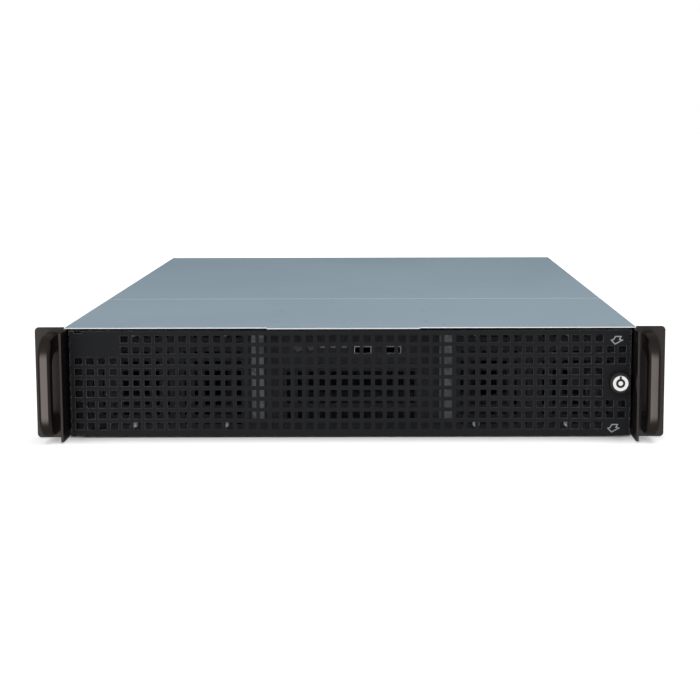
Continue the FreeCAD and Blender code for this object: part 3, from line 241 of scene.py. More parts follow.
def galvanised(name, light, dark, roughness):
    """Zinc-coated sheet: crystals that differ in tone and gloss, with fine rolling lines."""
    finish = Finish(name, Metallic=1.0)
    values = {"Vector": finish.place, "Scale": 1 / SPANGLE}
    crystal = finish.node("ShaderNodeTexVoronoi", {"feature": "F1"}, values, "Color").part("X")
    lines = finish.noise(ROLLING_LINE, detail=1.0, stretch=(1, 1, 0.05))
    tone = finish.ramp(crystal * 0.75 + lines * 0.25, 0.1, 0.9)
    finish.feed(Base_Color=finish.blend(tone, dark, light))
    finish.feed(Roughness=roughness + 0.16 * (crystal - 0.5) + 0.1 * (lines - 0.5))
    finish.bump(lines, ROLLING_RELIEF)
    return finish.material


def plated(name, light, dark, roughness):
    """Plated or bare metal with faint handling marks."""
    finish = Finish(name, Metallic=1.0)
    scuffs = finish.noise(SCUFF, detail=3.0)
    clouds = finish.noise(PLATING_CLOUD)
    finish.feed(Base_Color=finish.blend(finish.ramp(clouds, 0.35, 0.65), dark, light))
    finish.feed(Roughness=roughness + 0.14 * (scuffs - 0.5))
    finish.bump(scuffs, SCUFF_RELIEF)
    return finish.material


def moulded(name, light, dark, roughness, relief=0.012 * MM, gloss=0.45):
    """Moulded plastic with a fine spark-eroded grain."""
    finish = Finish(name, Metallic=0.0, Specular_IOR_Level=gloss)
    grains = finish.noise(MOULD_GRAIN)
    flow = finish.noise(MOULD_FLOW)
    finish.feed(Base_Color=finish.blend(finish.ramp(flow, 0.3, 0.7), dark, light))
    finish.feed(Roughness=roughness + 0.08 * (grains - 0.5) + 0.06 * (flow - 0.5))
    finish.bump(grains, relief)
    return finish.material


def hole_edge_highlight(name, highlight_colour, coat_colour, roughness):
    """The edges of punched holes, with a painted highlight that grows from the middle of the door towards its
    ends.
    """
    finish = Finish(name, Metallic=0.0, Roughness=roughness, Specular_IOR_Level=0.3)
    across = finish.place.part("X")
    reach = finish.size_of(across)
    # Painted highlight: paler with distance from the middle of the door, for the light that the hole walls
    # catch
    rim_highlight = finish.ramp(reach + 0.05 * (finish.noise(RIM_HIGHLIGHT_CLOUD) - 0.5), RIM_HIGHLIGHT_START, RIM_HIGHLIGHT_FULL)
    finish.feed(Base_Color=finish.blend(rim_highlight, coat_colour, highlight_colour))
    return finish.material


def circuit_board(name, mask, copper):
    """Green solder mask with fine copper tracks under it."""
    finish = Finish(name, Metallic=0.0, Roughness=0.35)
    values = {"Vector": finish.place, "Scale": 1 / TRACK_PITCH}
    bands = finish.node("ShaderNodeTexWave", {"wave_type": "BANDS", "bands_direction": "X"}, values)
    track = bands.above(TRACK_LEVEL)
    finish.feed(Base_Color=finish.blend(track, mask, copper))
    finish.bump(track, TRACK_RELIEF)
    return finish.material


FINISHES = {
    # case_steel's third colour is the painted highlight on the front bends
    "case_steel": smooth_paint(
        "blue_grey_paint", rgb(0.272, 0.350, 0.404), rgb(0.258, 0.334, 0.387), rgb(0.66, 0.67, 0.68), 0.60,
    ),
    "bright_steel": galvanised("galvanised_sheet", rgb(0.26, 0.27, 0.28), rgb(0.10, 0.11, 0.12), 0.38),
    "black_steel": powder_coat(
        "fine_black_powder", rgb(0.030, 0.030, 0.034), rgb(0.021, 0.021, 0.025), 0.50,
        grain=0.5 * MM, relief=0.02 * MM, gloss=0.25,
    ),
    "door_black": powder_coat(
        "door_black_paint", rgb(0.0120, 0.0125, 0.0150), rgb(0.0085, 0.0090, 0.0112), 0.45,
        grain=0.7 * MM, relief=0.012 * MM, gloss=0.16,
    ),
    "handle_satin": powder_coat(
        "handle_black_satin", rgb(0.228, 0.198, 0.182), rgb(0.188, 0.163, 0.150), 0.30,
        grain=0.4 * MM, relief=0.012 * MM, gloss=0.45, metal=1.0,
    ),
    "black_plastic": moulded(
        "bay_black_plastic", rgb(0.036, 0.036, 0.040), rgb(0.027, 0.027, 0.031), 0.5, gloss=0.25,
    ),
    "fan_plastic": moulded(
        "fan_black_plastic", rgb(0.009, 0.009, 0.009), rgb(0.006, 0.006, 0.006), 0.5, gloss=0.15,
    ),
    "button": moulded(
        "black_button", rgb(0.075, 0.075, 0.080), rgb(0.058, 0.058, 0.062), 0.25, relief=0.004 * MM,
    ),
    "lamp": moulded(
        "clear_light_pipe", rgb(0.24, 0.25, 0.24), rgb(0.18, 0.19, 0.18), 0.25, relief=0.003 * MM,
    ),
    "port_steel": plated("port_shell", rgb(0.90, 0.90, 0.88), rgb(0.80, 0.80, 0.78), 0.40),
    "board": circuit_board("green_board", rgb(0.010, 0.060, 0.030), rgb(0.030, 0.120, 0.060)),
    "brass": plated("brass_post", rgb(0.70, 0.54, 0.24), rgb(0.58, 0.42, 0.17), 0.28),
    "screw_steel": plated("zinc_plate", rgb(0.93, 0.93, 0.91), rgb(0.82, 0.82, 0.80), 0.42),
    "lock_black": moulded("lock_collar_black", rgb(0.014, 0.014, 0.014), rgb(0.009, 0.009, 0.009), 0.4),
    "lock_chrome": plated("lock_chrome", rgb(0.97, 0.97, 0.95), rgb(0.93, 0.93, 0.91), 0.16),
}
EAR_SATIN = powder_coat(
    "ear_black_satin", rgb(0.084, 0.075, 0.071), rgb(0.069, 0.062, 0.059), 0.38,
    grain=0.4 * MM, relief=0.016 * MM, gloss=0.4, metal=1.0,
)
# The door's hole edges: the first colour is a painted highlight, the second their own coat
HOLE_EDGE = hole_edge_highlight("door_hole_edge", rgb(0.42, 0.40, 0.39), rgb(0.050, 0.050, 0.052), 0.45)
PORT_TIN = moulded("dull_tin", rgb(0.62, 0.62, 0.60), rgb(0.52, 0.52, 0.50), 0.45)
MARK_PAINT = moulded("pale_mark_paint", rgb(0.36, 0.37, 0.36), rgb(0.30, 0.31, 0.30), 0.55)


# Modelling by hand

WELD_REACH = 0.001 * MM
FLAT_ANGLE = math.radians(0.5)
EDGE_ANGLE = math.radians(30)
SMOOTH_ANGLE = math.radians(35)


def start(add, name, **size):
    """A new primitive, with nothing else selected."""
    bpy.ops.object.select_all(action="DESELECT")
    add(**size)
    piece = bpy.context.active_object
    piece.name = name
    return piece


def block(name, low, high):
    """A box between two corners, as a tool for a cut or a join or the start of a piece."""
    middle = (low + high) / 2
    return start(bpy.ops.mesh.primitive_cube_add, name, size=1, location=middle, scale=high - low)


def only(piece):
    bpy.ops.object.select_all(action="DESELECT")
    piece.select_set(True)
    bpy.context.view_layer.objects.active = piece


def pick_faces(piece, wanted):
    """Edit mode with just the wanted faces selected."""
    only(piece)
    bpy.ops.object.mode_set(mode="EDIT")
    bpy.ops.mesh.select_mode(type="FACE")
    bpy.ops.mesh.select_all(action="DESELECT")
    shape = bmesh.from_edit_mesh(piece.data)
    for face in shape.faces:
        face.select_set(wanted(face))
    bmesh.update_edit_mesh(piece.data)


def leave():
    bpy.ops.object.mode_set(mode="OBJECT")


def facing_up(face):
    return face.normal.z > 0.9


def modify(piece, name, kind, **settings):
    """A modifier, applied."""
    only(piece)
    added = piece.modifiers.new(name, kind)
    for setting, value in settings.items():
        setattr(added, setting, value)
    bpy.ops.object.modifier_apply(modifier=added.name)


def cut_away(piece, cutter):
    modify(piece, "cut", "BOOLEAN", operation="DIFFERENCE", solver="EXACT", object=cutter)
    bpy.data.objects.remove(cutter)


def round_edges(piece, width):
    modify(piece, "edge", "BEVEL", width=width, segments=2, limit_method="ANGLE", angle_limit=EDGE_ANGLE)


def settle(piece):
    """Puts the piece's place into its mesh and shades its round faces smooth."""
    only(piece)
    bpy.ops.object.transform_apply(location=True, rotation=True, scale=True)
    bpy.ops.object.shade_smooth_by_angle(angle=SMOOTH_ANGLE)


def dress(piece, body, slot, finish=None):
    piece.data.materials.clear()
    piece.data.materials.append(finish or FINISHES[slot])
    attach(piece, body)


def placed_copy(master, name, placement):
    """A copy of a master with a mesh of its own, which the placement matrix moves."""
    copy = master.copy()
    copy.data = master.data.copy()
    copy.name = name
    bpy.context.scene.collection.objects.link(copy)
    copy.data.transform(placement)
    return copy


def turned(spot, facing):
    """The placement that takes a master looking along +Z to a spot, where it looks along facing."""
    return Matrix.Translation(spot) @ UP.rotation_difference(facing).to_matrix().to_4x4()


def spread(master, name, spots, facing, body, slot):
    """Numbered copies of a master, one at each spot."""
    for number, spot in enumerate(spots, 1):
        dress(placed_copy(master, f"{name}_{number}", turned(spot, facing)), body, slot)


def discard(piece):
    bpy.data.objects.remove(piece)


# Fasteners: plain numbers are shares of the radius, or of the height for a rise, a sink or a depth

HEAD_SIDES = 24
HEAD_STEP = 0.22
HEAD_RISES = (0.25, 0.08)
CROSS_LENGTH = 1.05
CROSS_WIDTH = 0.26
CROSS_DEPTH = 1.3
CROSS_RISE = 1.35
RIVET_STEP = 0.35
RIVET_RISE = 0.2
DIMPLE_STEP = 0.25
DIMPLE_SINK = 0.5
MOUTH_REACH = 1.35
MOUTH_STEP = 0.35
MOUTH_HEIGHT = 0.1 * MM
MOUTH_SINK = 0.08 * MM


def cross_screw(radius, height):
    """A domed screw head with a cross recess, standing on +Z."""
    screw = start(
        bpy.ops.mesh.primitive_cylinder_add, "screw", vertices=HEAD_SIDES, radius=radius, depth=height,
        location=(0, 0, height / 2),
    )
    pick_faces(screw, facing_up)
    for rise in HEAD_RISES:
        bpy.ops.mesh.inset(thickness=radius * HEAD_STEP)
        bpy.ops.transform.translate(value=(0, 0, height * rise))
    leave()
    for turn in (0, math.pi / 2):
        bar = start(
            bpy.ops.mesh.primitive_cube_add, "bar", size=1, location=(0, 0, height * CROSS_RISE),
            rotation=(0, 0, turn), scale=(radius * CROSS_LENGTH, radius * CROSS_WIDTH, height * CROSS_DEPTH),
        )
        cut_away(screw, bar)
    settle(screw)
    return screw


def flat_rivet(radius, height):
    """A low pressed head with a dimple, standing on +Z."""
    rivet = start(
        bpy.ops.mesh.primitive_cylinder_add, "rivet", vertices=HEAD_SIDES, radius=radius, depth=height,
        location=(0, 0, height / 2),
    )
    pick_faces(rivet, facing_up)
    bpy.ops.mesh.inset(thickness=radius * RIVET_STEP)
    bpy.ops.transform.translate(value=(0, 0, height * RIVET_RISE))
    bpy.ops.mesh.inset(thickness=radius * DIMPLE_STEP)
    bpy.ops.transform.translate(value=(0, 0, -height * DIMPLE_SINK))
    leave()
    settle(rivet)
    return rivet


def threaded_mouth(radius):
    """The bevelled mouth of a threaded hole: a thin ring round a sunk floor."""
    mouth = start(
        bpy.ops.mesh.primitive_cylinder_add, "mouth", vertices=HEAD_SIDES, radius=radius * MOUTH_REACH,
        depth=MOUTH_HEIGHT, location=(0, 0, MOUTH_HEIGHT / 2),
    )
    pick_faces(mouth, facing_up)
    bpy.ops.mesh.inset(thickness=radius * MOUTH_STEP)
    bpy.ops.transform.translate(value=(0, 0, -MOUTH_SINK))
    leave()
    settle(mouth)
    return mouth


FAN_HOLE_REACH = 71.5 * MM / 2
FAN_SCREW_RADIUS = 3.0 * MM
FAN_SCREW_HEIGHT = 2.0 * MM


def add_fan_screws():
    """Four screws through the front wall into the corners of each fan."""
    screw = cross_screw(FAN_SCREW_RADIUS, FAN_SCREW_HEIGHT)
    wall_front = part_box("front_wall")[0].y
    spots = []
    for fan in ("left_fan_frame", "right_fan_frame"):
        low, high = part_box(fan)
        middle = (low + high) / 2
        for across in (-1, 1):
            for up in (-1, 1):
                spots.append(Vector((
                    middle.x + across * FAN_HOLE_REACH, wall_front, middle.z + up * FAN_HOLE_REACH,
                )))
    spread(screw, "fan_screw", spots, FORWARD, "case", "screw_steel")
    discard(screw)


RIVET_ACROSS = 59 * MM
RIVET_DEPTHS = (38 * MM, 111 * MM, 196 * MM)
TOP_RIVET_RADIUS = 1.9 * MM
TOP_RIVET_HEIGHT = 0.35 * MM


def add_top_rivets():
    """Two rows of three painted rivets along the front top panel."""
    rivet = flat_rivet(TOP_RIVET_RADIUS, TOP_RIVET_HEIGHT)
    low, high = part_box("front_top_panel")
    spots = []
    for depth in RIVET_DEPTHS:
        for across in (-RIVET_ACROSS, RIVET_ACROSS):
            spots.append(Vector((across, low.y + depth, high.z)))
    spread(rivet, "top_rivet", spots, UP, "case", "case_steel")
    discard(rivet)


EAR_SCREW_RADIUS = 2.7 * MM
EAR_SCREW_HEIGHT = 1.4 * MM
EAR_SCREW_INSET = 9 * MM
EAR_SCREW_HEIGHTS = (18 * MM, 37.5 * MM, 57 * MM)
EAR_SHEET = 2 * MM
HANDLE_SCREW_INSET = 8 * MM


def add_ear_screws():
    """Three screws through each ear into the case, and two through it into each handle."""
    screw = cross_screw(EAR_SCREW_RADIUS, EAR_SCREW_HEIGHT)
    for side, sign, facing in (("left", -1, LEFTWARD), ("right", 1, RIGHTWARD)):
        ear_low, ear_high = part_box(f"{side}_ear")
        case_side = ear_low.x if sign > 0 else ear_high.x
        outside = case_side + sign * EAR_SHEET
        along = ear_high.y - EAR_SCREW_INSET
        spots = [Vector((outside, along, height)) for height in EAR_SCREW_HEIGHTS]
        spread(screw, f"{side}_ear_screw", spots, facing, "case", "screw_steel")
        low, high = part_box(f"{side}_handle")
        heights = (low.z + HANDLE_SCREW_INSET, high.z - HANDLE_SCREW_INSET)
        spots = [Vector(((low.x + high.x) / 2, ear_low.y + EAR_SHEET, height)) for height in heights]
        spread(screw, f"{side}_handle_screw", spots, BACKWARD, "case", "screw_steel")
    discard(screw)


SLOT_COUNT = 7
SLOT_PITCH = 20.32 * MM
SLOT_MIDDLE = 9 * MM
SLOT_SCREW_RISE = 5.5 * MM
SLOT_SCREW_RADIUS = 2.6 * MM
SLOT_SCREW_HEIGHT = 1.5 * MM


def add_slot_screws():
    """One screw above each card slot."""
    screw = cross_screw(SLOT_SCREW_RADIUS, SLOT_SCREW_HEIGHT)
    low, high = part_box("slot_blanks")
    back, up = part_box("rear_panel")[1].y, high.z + SLOT_SCREW_RISE
    spots = [Vector((low.x + SLOT_MIDDLE + number * SLOT_PITCH, back, up)) for number in range(SLOT_COUNT)]
    spread(screw, "slot_screw", spots, BACKWARD, "case", "screw_steel")
    discard(screw)


POST_MOUTH_RADIUS = 1.5 * MM
POST_COLUMNS = (84.6 * MM, -72.9 * MM, -197.3 * MM)
POST_ROWS = (0, 154.94 * MM, 227.33 * MM)
POST_HALF = 2.9 * MM


def add_post_mouths():
    """The threaded mouths of the board posts, which stand in rows of three."""
    mouth = threaded_mouth(POST_MOUTH_RADIUS)
    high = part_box("board_posts")[1]
    rear = high.y - POST_HALF
    spots = [Vector((across, rear - row, high.z)) for across in POST_COLUMNS for row in POST_ROWS]
    spread(mouth, "post_mouth", spots, UP, "case", "brass")
    discard(mouth)


# Door marks: the arrow's corners are in millimetres, from its middle

ARROW = (
    (-4.9, 0.2), (-2.7, 0.9), (-1.4, 3.3), (3.9, 3.3), (2.6, 0.9), (5.1, 0.2), (-1.4, -3.5),
)
MARK_SPOTS = {"upper_arrow": (204.2 * MM, 75.2 * MM), "lower_arrow": (202.6 * MM, 6.8 * MM)}
MARK_LINE = 0.8 * MM
MARK_PROUD = 0.04 * MM


def add_marks():
    """Two outlined bent arrows, one over and one under the lock, printed on the door."""
    arrow = start(bpy.ops.mesh.primitive_circle_add, "arrow", vertices=len(ARROW), radius=1, fill_type="NGON")
    for vertex, (across, up) in zip(arrow.data.vertices, ARROW):
        vertex.co = (across * MM, 0, up * MM)
    pick_faces(arrow, lambda face: True)
    bpy.ops.mesh.normals_make_consistent(inside=False)
    bpy.ops.mesh.inset(thickness=MARK_LINE)
    bpy.ops.mesh.delete(type="FACE")
    leave()
    modify(arrow, "proud", "SOLIDIFY", thickness=MARK_PROUD, offset=0)
    settle(arrow)
    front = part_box("door_panel")[0].y
    for name, (across, up) in MARK_SPOTS.items():
        mark = placed_copy(arrow, name, Matrix.Translation((across, front, up)))
        dress(mark, "door", "lamp", MARK_PAINT)
    discard(arrow)


# The door's bends, where the hole pattern runs on over the edge

DOOR_PITCH = 8.87 * MM
DOOR_HOLE_WIDTH = 6.1 * MM
NOTCH_COLUMNS = 48
TOP_NOTCH = 1.9 * MM
BOTTOM_NOTCH = 1.3 * MM
NOTCH_DEPTH = 2 * MM
DOOR_EDGE = 0.28 * MM


def merged_copy(node, name):
    """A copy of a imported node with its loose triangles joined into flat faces."""
    copy = placed_copy(NODES[node], name, Matrix())
    copy.parent = None
    only(copy)
    bpy.ops.mesh.customdata_custom_splitnormals_clear()
    modify(copy, "merge", "WELD", merge_threshold=WELD_REACH)
    modify(copy, "flat", "DECIMATE", decimate_type="DISSOLVE", angle_limit=FLAT_ANGLE)
    return copy


def add_door_skin():
    """The door with the notches that its top and bottom bends keep of two more rows of holes."""
    skin = merged_copy("door_panel", "door_skin")
    low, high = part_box("door_panel")
    for name, height, reach in (("top", high.z, TOP_NOTCH), ("bottom", low.z, BOTTOM_NOTCH)):
        row = start(
            bpy.ops.mesh.primitive_cube_add, f"{name}_row", size=1,
            location=(-(NOTCH_COLUMNS - 1) * DOOR_PITCH / 2, low.y, height),
            scale=(DOOR_HOLE_WIDTH, 2 * NOTCH_DEPTH, 2 * reach),
        )
        modify(
            row, "repeat", "ARRAY", count=NOTCH_COLUMNS, use_relative_offset=False, use_constant_offset=True,
            constant_offset_displace=(DOOR_PITCH / DOOR_HOLE_WIDTH, 0, 0),
        )
        cut_away(skin, row)
    soften(skin, DOOR_EDGE)
    dress(skin, "door", "door_black")
    # The bevelled hole edges take HOLE_EDGE and its painted highlight
    skin.data.materials.append(HOLE_EDGE)
    skin.modifiers["edge"].material = 1
    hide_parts("door_panel")


# The front wall, perforated where air goes in to the side bays

WALL_SHEET = 1.2 * MM
WALL_EDGE = 0.15 * MM
WALL_PITCH = (8.0 * MM, 7.65 * MM)
WALL_HOLE = (4.4 * MM, 4.2 * MM)
WALL_FIELD = (16, 10)
WALL_FIELD_MIDDLE = (148.0 * MM, 42.6 * MM)


def add_wall_skin():
    """The front wall with its fan bores closed by the perforated sheet that the fans draw through."""
    skin = merged_copy("front_wall", "front_wall_skin")
    low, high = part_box("front_wall")
    back = low.y + WALL_SHEET
    for fan in ("left_fan_frame", "right_fan_frame"):
        fan_low, fan_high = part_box(fan)
        patch_low = Vector((fan_low.x, low.y, fan_low.z))
        patch = block("patch", patch_low, Vector((fan_high.x, back, fan_high.z)))
        modify(skin, "join", "BOOLEAN", operation="UNION", solver="EXACT", object=patch)
        discard(patch)
    half = Vector((WALL_HOLE[0] / 2, 3 * WALL_SHEET, WALL_HOLE[1] / 2))
    columns, rows = WALL_FIELD
    for sign in (-1, 1):
        corner = Vector((
            sign * WALL_FIELD_MIDDLE[0] - (columns - 1) / 2 * WALL_PITCH[0],
            low.y,
            WALL_FIELD_MIDDLE[1] - (rows - 1) / 2 * WALL_PITCH[1],
        ))
        holes = block("holes", corner - half, corner + half)
        for count, step, axis in ((columns, WALL_PITCH[0], 0), (rows, WALL_PITCH[1], 2)):
            shift = [0, 0, 0]
            shift[axis] = step
            modify(
                holes, "repeat", "ARRAY", count=count, use_relative_offset=False, use_constant_offset=True,
                constant_offset_displace=[part / size for part, size in zip(shift, holes.scale)],
            )
        cut_away(skin, holes)
    soften(skin, WALL_EDGE)
    dress(skin, "case", "black_steel")
    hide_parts("front_wall")


# The lock's ring keyway

KEYWAY_SIDES = 32
KEYWAY_OUTSIDE = 3.35 * MM
KEYWAY_INSIDE = 2.0 * MM
KEYWAY_SINK = 0.35 * MM
KEYWAY_DEPTH = 4.0 * MM
STOP_WIDTH = 1.2 * MM
STOP_START = 3.55 * MM
STOP_END = 5.1 * MM
STOP_EDGE = 0.1 * MM


def add_keyway():
    """Painted shade: a dark ring sunk in the ring keyway, and a dark block in the stop notch over it, for the
    shade in these hollows.
    """
    low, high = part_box("lock_plug")
    across, up = (low.x + high.x) / 2, (low.z + high.z) / 2
    front = low.y + KEYWAY_SINK
    lying = (math.pi / 2, 0, 0)
    # Painted shade: a dark ring in the keyway
    keyway_shade = start(
        bpy.ops.mesh.primitive_cylinder_add, "keyway_shade_ring", vertices=KEYWAY_SIDES, radius=KEYWAY_OUTSIDE,
        depth=KEYWAY_DEPTH, location=(across, front + KEYWAY_DEPTH / 2, up), rotation=lying,
    )
    post = start(
        bpy.ops.mesh.primitive_cylinder_add, "post", vertices=KEYWAY_SIDES, radius=KEYWAY_INSIDE,
        depth=KEYWAY_DEPTH * 2, location=(across, front + KEYWAY_DEPTH / 2, up), rotation=lying,
    )
    cut_away(keyway_shade, post)
    settle(keyway_shade)
    dress(keyway_shade, "lock", "lock_black")
    # Painted shade: a dark block in the stop notch
    stop_low = Vector((across - STOP_WIDTH / 2, front - KEYWAY_SINK / 2, up + STOP_START))
    stop_high = Vector((across + STOP_WIDTH / 2, front, up + STOP_END))
    stop = block("keyway_notch_shade", stop_low, stop_high)
    round_edges(stop, STOP_EDGE)
    settle(stop)
    dress(stop, "lock", "lock_black")


# The front ports' faces

PORT_SPOTS = (9.5 * MM, 32.8 * MM)
PORT_SIZE = (13.3 * MM, 5.9 * MM)
PORT_RIM = 0.6 * MM
PORT_PROUD = 0.1 * MM
PORT_DEPTH = 0.8 * MM
PORT_EDGE = 0.08 * MM
TONGUE_SIZE = (9.7 * MM, 2.0 * MM)
TONGUE_LIFT = 0.9 * MM
TONGUE_SINK = 0.3 * MM


def plate(name, size, front, back):
    """An upright box round the Z axis, from the level of its back to that of its front."""
    half = Vector((size[0] / 2, size[1] / 2, 0))
    return block(name, Vector((0, 0, back)) - half, Vector((0, 0, front)) + half)


def add_port_faces():
    """The pale flange and the tongue's face of each front port."""
    low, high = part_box("front_ports")
    up = (low.z + high.z) / 2
    rim = plate("rim", PORT_SIZE, 0, -PORT_DEPTH)
    inside = [length - 2 * PORT_RIM for length in PORT_SIZE]
    cut_away(rim, plate("mouth", inside, PORT_DEPTH, -2 * PORT_DEPTH))
    tongue = plate("tongue", TONGUE_SIZE, 0, -PORT_DEPTH)
    for master in (rim, tongue):
        round_edges(master, PORT_EDGE)
        settle(master)
    places = ((rim, low.y - PORT_PROUD, up), (tongue, low.y + TONGUE_SINK, up + TONGUE_LIFT))
    for number, across in enumerate(PORT_SPOTS, 1):
        for master, front, height in places:
            spot = Vector((across, front, height))
            face = placed_copy(master, f"port_{master.name}_{number}", turned(spot, FORWARD))
            dress(face, "case", "port_steel", PORT_TIN)
    discard(rim)
    discard(tongue)


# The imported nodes

EDGE_WIDTHS = {
    "left_handle": 0.5, "right_handle": 0.5, "left_ear": 0.35, "right_ear": 0.35, "left_side_plate": 0.3,
    "right_side_plate": 0.3, "front_top_panel": 0.45, "top_cover": 0.4, "control_panel": 0.35,
    "lock_plug": 0.3, "lock_barrel": 0.4, "power_button": 0.4, "reset_button": 0.4, "cover_screw": 0.4,
}
PLAIN_WIDTH = 0.2
SATIN_ENDS = ("_ear", "_side_plate")
REDRAWN = ("door_panel", "front_wall")


def soften(piece, width):
    """Live modifiers: joined flat faces, small round edges and normals that keep the flats flat."""
    piece.data.polygons.foreach_set("use_smooth", [True] * len(piece.data.polygons))
    weld = piece.modifiers.new("weld", "WELD")
    weld.merge_threshold = WELD_REACH
    flat = piece.modifiers.new("flat", "DECIMATE")
    flat.decimate_type = "DISSOLVE"
    flat.angle_limit = FLAT_ANGLE
    edge = piece.modifiers.new("edge", "BEVEL")
    edge.width = width
    edge.segments = 2
    edge.limit_method = "ANGLE"
    edge.angle_limit = EDGE_ANGLE
    even = piece.modifiers.new("even", "WEIGHTED_NORMAL")
    even.keep_sharp = False


def finish_nodes():
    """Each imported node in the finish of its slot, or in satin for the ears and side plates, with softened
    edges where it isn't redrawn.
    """
    slots = {entry["node"]: entry["material_slot"] for entry in frame["record"]["subparts"]}
    for name, node in NODES.items():
        node.data.materials.clear()
        node.data.materials.append(EAR_SATIN if name.endswith(SATIN_ENDS) else FINISHES[slots[name]])
        if name not in REDRAWN:
            soften(node, EDGE_WIDTHS.get(name, PLAIN_WIDTH) * MM)


# Stage, lights and camera


def spread_of(tree, value, low, high, start_level, end_level):
    """A map-range node's output: start_level at low, end_level at high, even outside."""
    mapped = tree.nodes.new("ShaderNodeMapRange")
    levels = {"Value": value, "From Min": low, "From Max": high, "To Min": start_level, "To Max": end_level}
    for socket, level in levels.items():
        if isinstance(level, bpy.types.NodeSocket):
            tree.links.new(level, mapped.inputs[socket])
        else:
            mapped.inputs[socket].default_value = level
    return mapped.outputs[0]


WORLD_FRONT = 1.5
WORLD_MIDDLE = 0.45
WORLD_BACK = 0.10
WORLD_GLINT = 0.92
FRONT_WINDOW = (-0.24, -0.96, 0.12)
FRONT_RAMP = (0.72, 0.93)
REAR_RAMP = (-0.7, 0.3)
GLINT_WINDOW = (-0.24, -0.96, -0.10)
GLINT_RAMP = (0.73, 0.91)


def facing_window(tree, way, window):
    """How closely a ray's way agrees with a window's: about 1 straight at it, -1 away from it."""
    toward = tree.nodes.new("ShaderNodeVectorMath")
    toward.operation = "DOT_PRODUCT"
    toward.inputs[1].default_value = window
    tree.links.new(way, toward.inputs[0])
    return toward.outputs["Value"]


def add_world():
    """White to the camera; it lights strongly from the front and weakly from behind.

    Mirror rays see a white window in front and a dark surround.
    """
    world = bpy.data.worlds.new("studio")
    bpy.context.scene.world = world
    world.use_nodes = True
    tree = world.node_tree
    background = tree.nodes["Background"]
    background.inputs["Color"].default_value = WHITE
    way = tree.nodes.new("ShaderNodeTexCoord").outputs["Generated"]
    toward = facing_window(tree, way, FRONT_WINDOW)
    rear = spread_of(tree, toward, *REAR_RAMP, WORLD_BACK, WORLD_MIDDLE)
    light = spread_of(tree, toward, *FRONT_RAMP, rear, WORLD_FRONT)
    mirrored = facing_window(tree, way, GLINT_WINDOW)
    glint = spread_of(tree, mirrored, *GLINT_RAMP, WORLD_BACK, WORLD_GLINT)
    path = tree.nodes.new("ShaderNodeLightPath")
    both = spread_of(tree, path.outputs["Is Glossy Ray"], 0.0, 1.0, light, glint)
    level = spread_of(tree, path.outputs["Is Camera Ray"], 0.0, 1.0, both, 1.0)
    tree.links.new(level, background.inputs["Strength"])


FLOOR_SIZE = 60.0
FLOOR_GLOW = 0.45
FLOOR_RAMP = (0.7, 1.6)
SHADE_FRONT = (-0.352, -0.319)
SHADE_SIDE = (0.232, 0.206)
SHADE_REAR = (0.25, 0.30)
FLOOR_COLOUR = rgb(0.80, 0.80, 0.80)


def add_floor():
    """A white floor that glows to the camera alone; under and round the case the glow is left out, so painted
    shadow deepens its real shadow there.
    """
    floor = start(bpy.ops.mesh.primitive_plane_add, "floor", size=FLOOR_SIZE, location=(0, 0, 0))
    paint = bpy.data.materials.new("white_floor")
    paint.use_nodes = True
    tree = paint.node_tree
    tree.nodes.clear()
    matte = tree.nodes.new("ShaderNodeBsdfDiffuse")
    matte.inputs["Color"].default_value = FLOOR_COLOUR
    glow = tree.nodes.new("ShaderNodeEmission")
    glow.inputs["Color"].default_value = WHITE
    both = tree.nodes.new("ShaderNodeAddShader")
    output = tree.nodes.new("ShaderNodeOutputMaterial")
    place = tree.nodes.new("ShaderNodeTexCoord")
    reach = tree.nodes.new("ShaderNodeVectorMath")
    reach.operation = "LENGTH"
    tree.links.new(place.outputs["Object"], reach.inputs[0])
    far = spread_of(tree, reach.outputs["Value"], *FLOOR_RAMP, FLOOR_GLOW, 1.0)
    split = tree.nodes.new("ShaderNodeSeparateXYZ")
    tree.links.new(place.outputs["Object"], split.inputs[0])
    across = tree.nodes.new("ShaderNodeMath")
    across.operation = "ABSOLUTE"
    tree.links.new(split.outputs["X"], across.inputs[0])
    # Painted shadow: the glow falls to 0 under the case and a little round it, within SHADE_SIDE and between
    # SHADE_FRONT and SHADE_REAR
    beside = spread_of(tree, across.outputs[0], *SHADE_SIDE, far, 0.0)
    under = spread_of(tree, split.outputs["Y"], *SHADE_FRONT, far, beside)
    around = spread_of(tree, split.outputs["Y"], *SHADE_REAR, under, far)
    path = tree.nodes.new("ShaderNodeLightPath")
    level = spread_of(tree, path.outputs["Is Camera Ray"], 0.0, 1.0, 0.0, around)
    tree.links.new(level, glow.inputs["Strength"])
    tree.links.new(matte.outputs[0], both.inputs[0])
    tree.links.new(glow.outputs[0], both.inputs[1])
    tree.links.new(both.outputs[0], output.inputs["Surface"])
    floor.data.materials.append(paint)
    floor.visible_glossy = False


SOFTBOXES = (
    ("overhead", (0.25, -0.45, 1.6), (0.1, -0.1, 0), (2.2, 1.6), 23.0),
    ("front_fill", (-0.7, -2.4, 1.0), (0, -0.3, 0.04), (1.6, 1.2), 10.0),
)


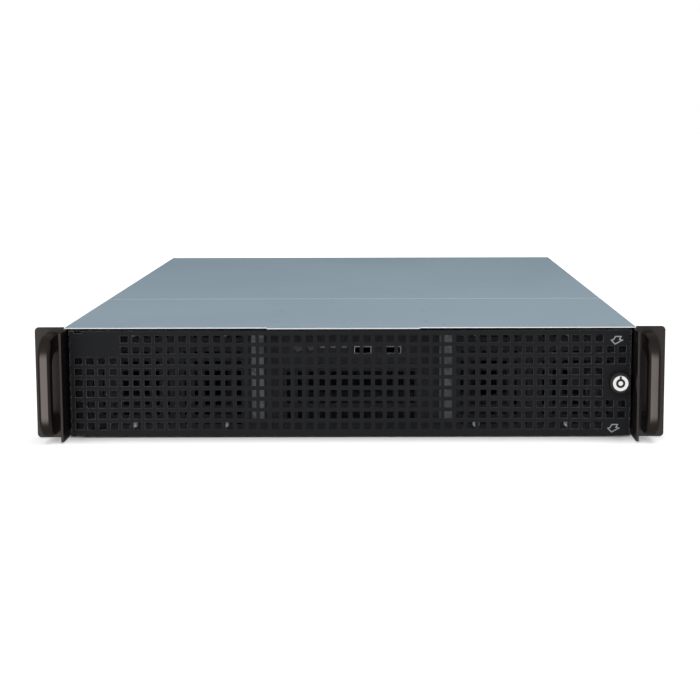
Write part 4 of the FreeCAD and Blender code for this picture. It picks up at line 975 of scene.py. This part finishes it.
def add_softbox(name, spot, target, size, power):
    """A rectangular area lamp at a spot, turned to its target and hidden from mirror rays."""
    lamp = bpy.data.lights.new(name, "AREA")
    lamp.shape = "RECTANGLE"
    lamp.size, lamp.size_y = size
    lamp.energy = power
    softbox = bpy.data.objects.new(name, lamp)
    bpy.context.scene.collection.objects.link(softbox)
    softbox.visible_glossy = False
    softbox.location = spot
    softbox.rotation_euler = (Vector(target) - Vector(spot)).to_track_quat("-Z", "Y").to_euler()


CAMERA_SPOT = (23.84 * MM, -1537.34 * MM, 238.98 * MM)
CAMERA_PITCH = math.radians(-7.5517)
CAMERA_YAW = math.radians(0.2009)
CAMERA_ROLL = math.radians(-0.1511)
IMAGE_WIDTH = 700
FOCAL_PIXELS = 1611.92
MIDDLE_PIXEL = (375.46, 338.55)
SENSOR_WIDTH = 36.0
CLIP_START = 0.01


def add_camera():
    """The photograph's camera, with its lens shifted by the off-centre middle of the picture."""
    lens = bpy.data.cameras.new("camera")
    lens.sensor_width = SENSOR_WIDTH
    lens.lens = FOCAL_PIXELS * SENSOR_WIDTH / IMAGE_WIDTH
    lens.shift_x = (IMAGE_WIDTH / 2 - MIDDLE_PIXEL[0]) / IMAGE_WIDTH
    lens.shift_y = (MIDDLE_PIXEL[1] - IMAGE_WIDTH / 2) / IMAGE_WIDTH
    lens.clip_start = CLIP_START
    camera = bpy.data.objects.new("camera", lens)
    bpy.context.scene.collection.objects.link(camera)
    level = Matrix.Rotation(math.pi / 2 + CAMERA_PITCH, 4, "X")
    turn = Matrix.Rotation(CAMERA_YAW, 4, "Z") @ level @ Matrix.Rotation(CAMERA_ROLL, 4, "Z")
    camera.matrix_world = Matrix.Translation(CAMERA_SPOT) @ turn
    bpy.context.scene.camera = camera


finish_nodes()
add_door_skin()
add_wall_skin()
add_fan_screws()
add_top_rivets()
add_ear_screws()
add_slot_screws()
add_post_mouths()
add_marks()
add_keyway()
add_port_faces()
add_world()
add_floor()
for softbox in SOFTBOXES:
    add_softbox(*softbox)
add_camera()

bpy.context.scene.view_settings.view_transform = "Standard"
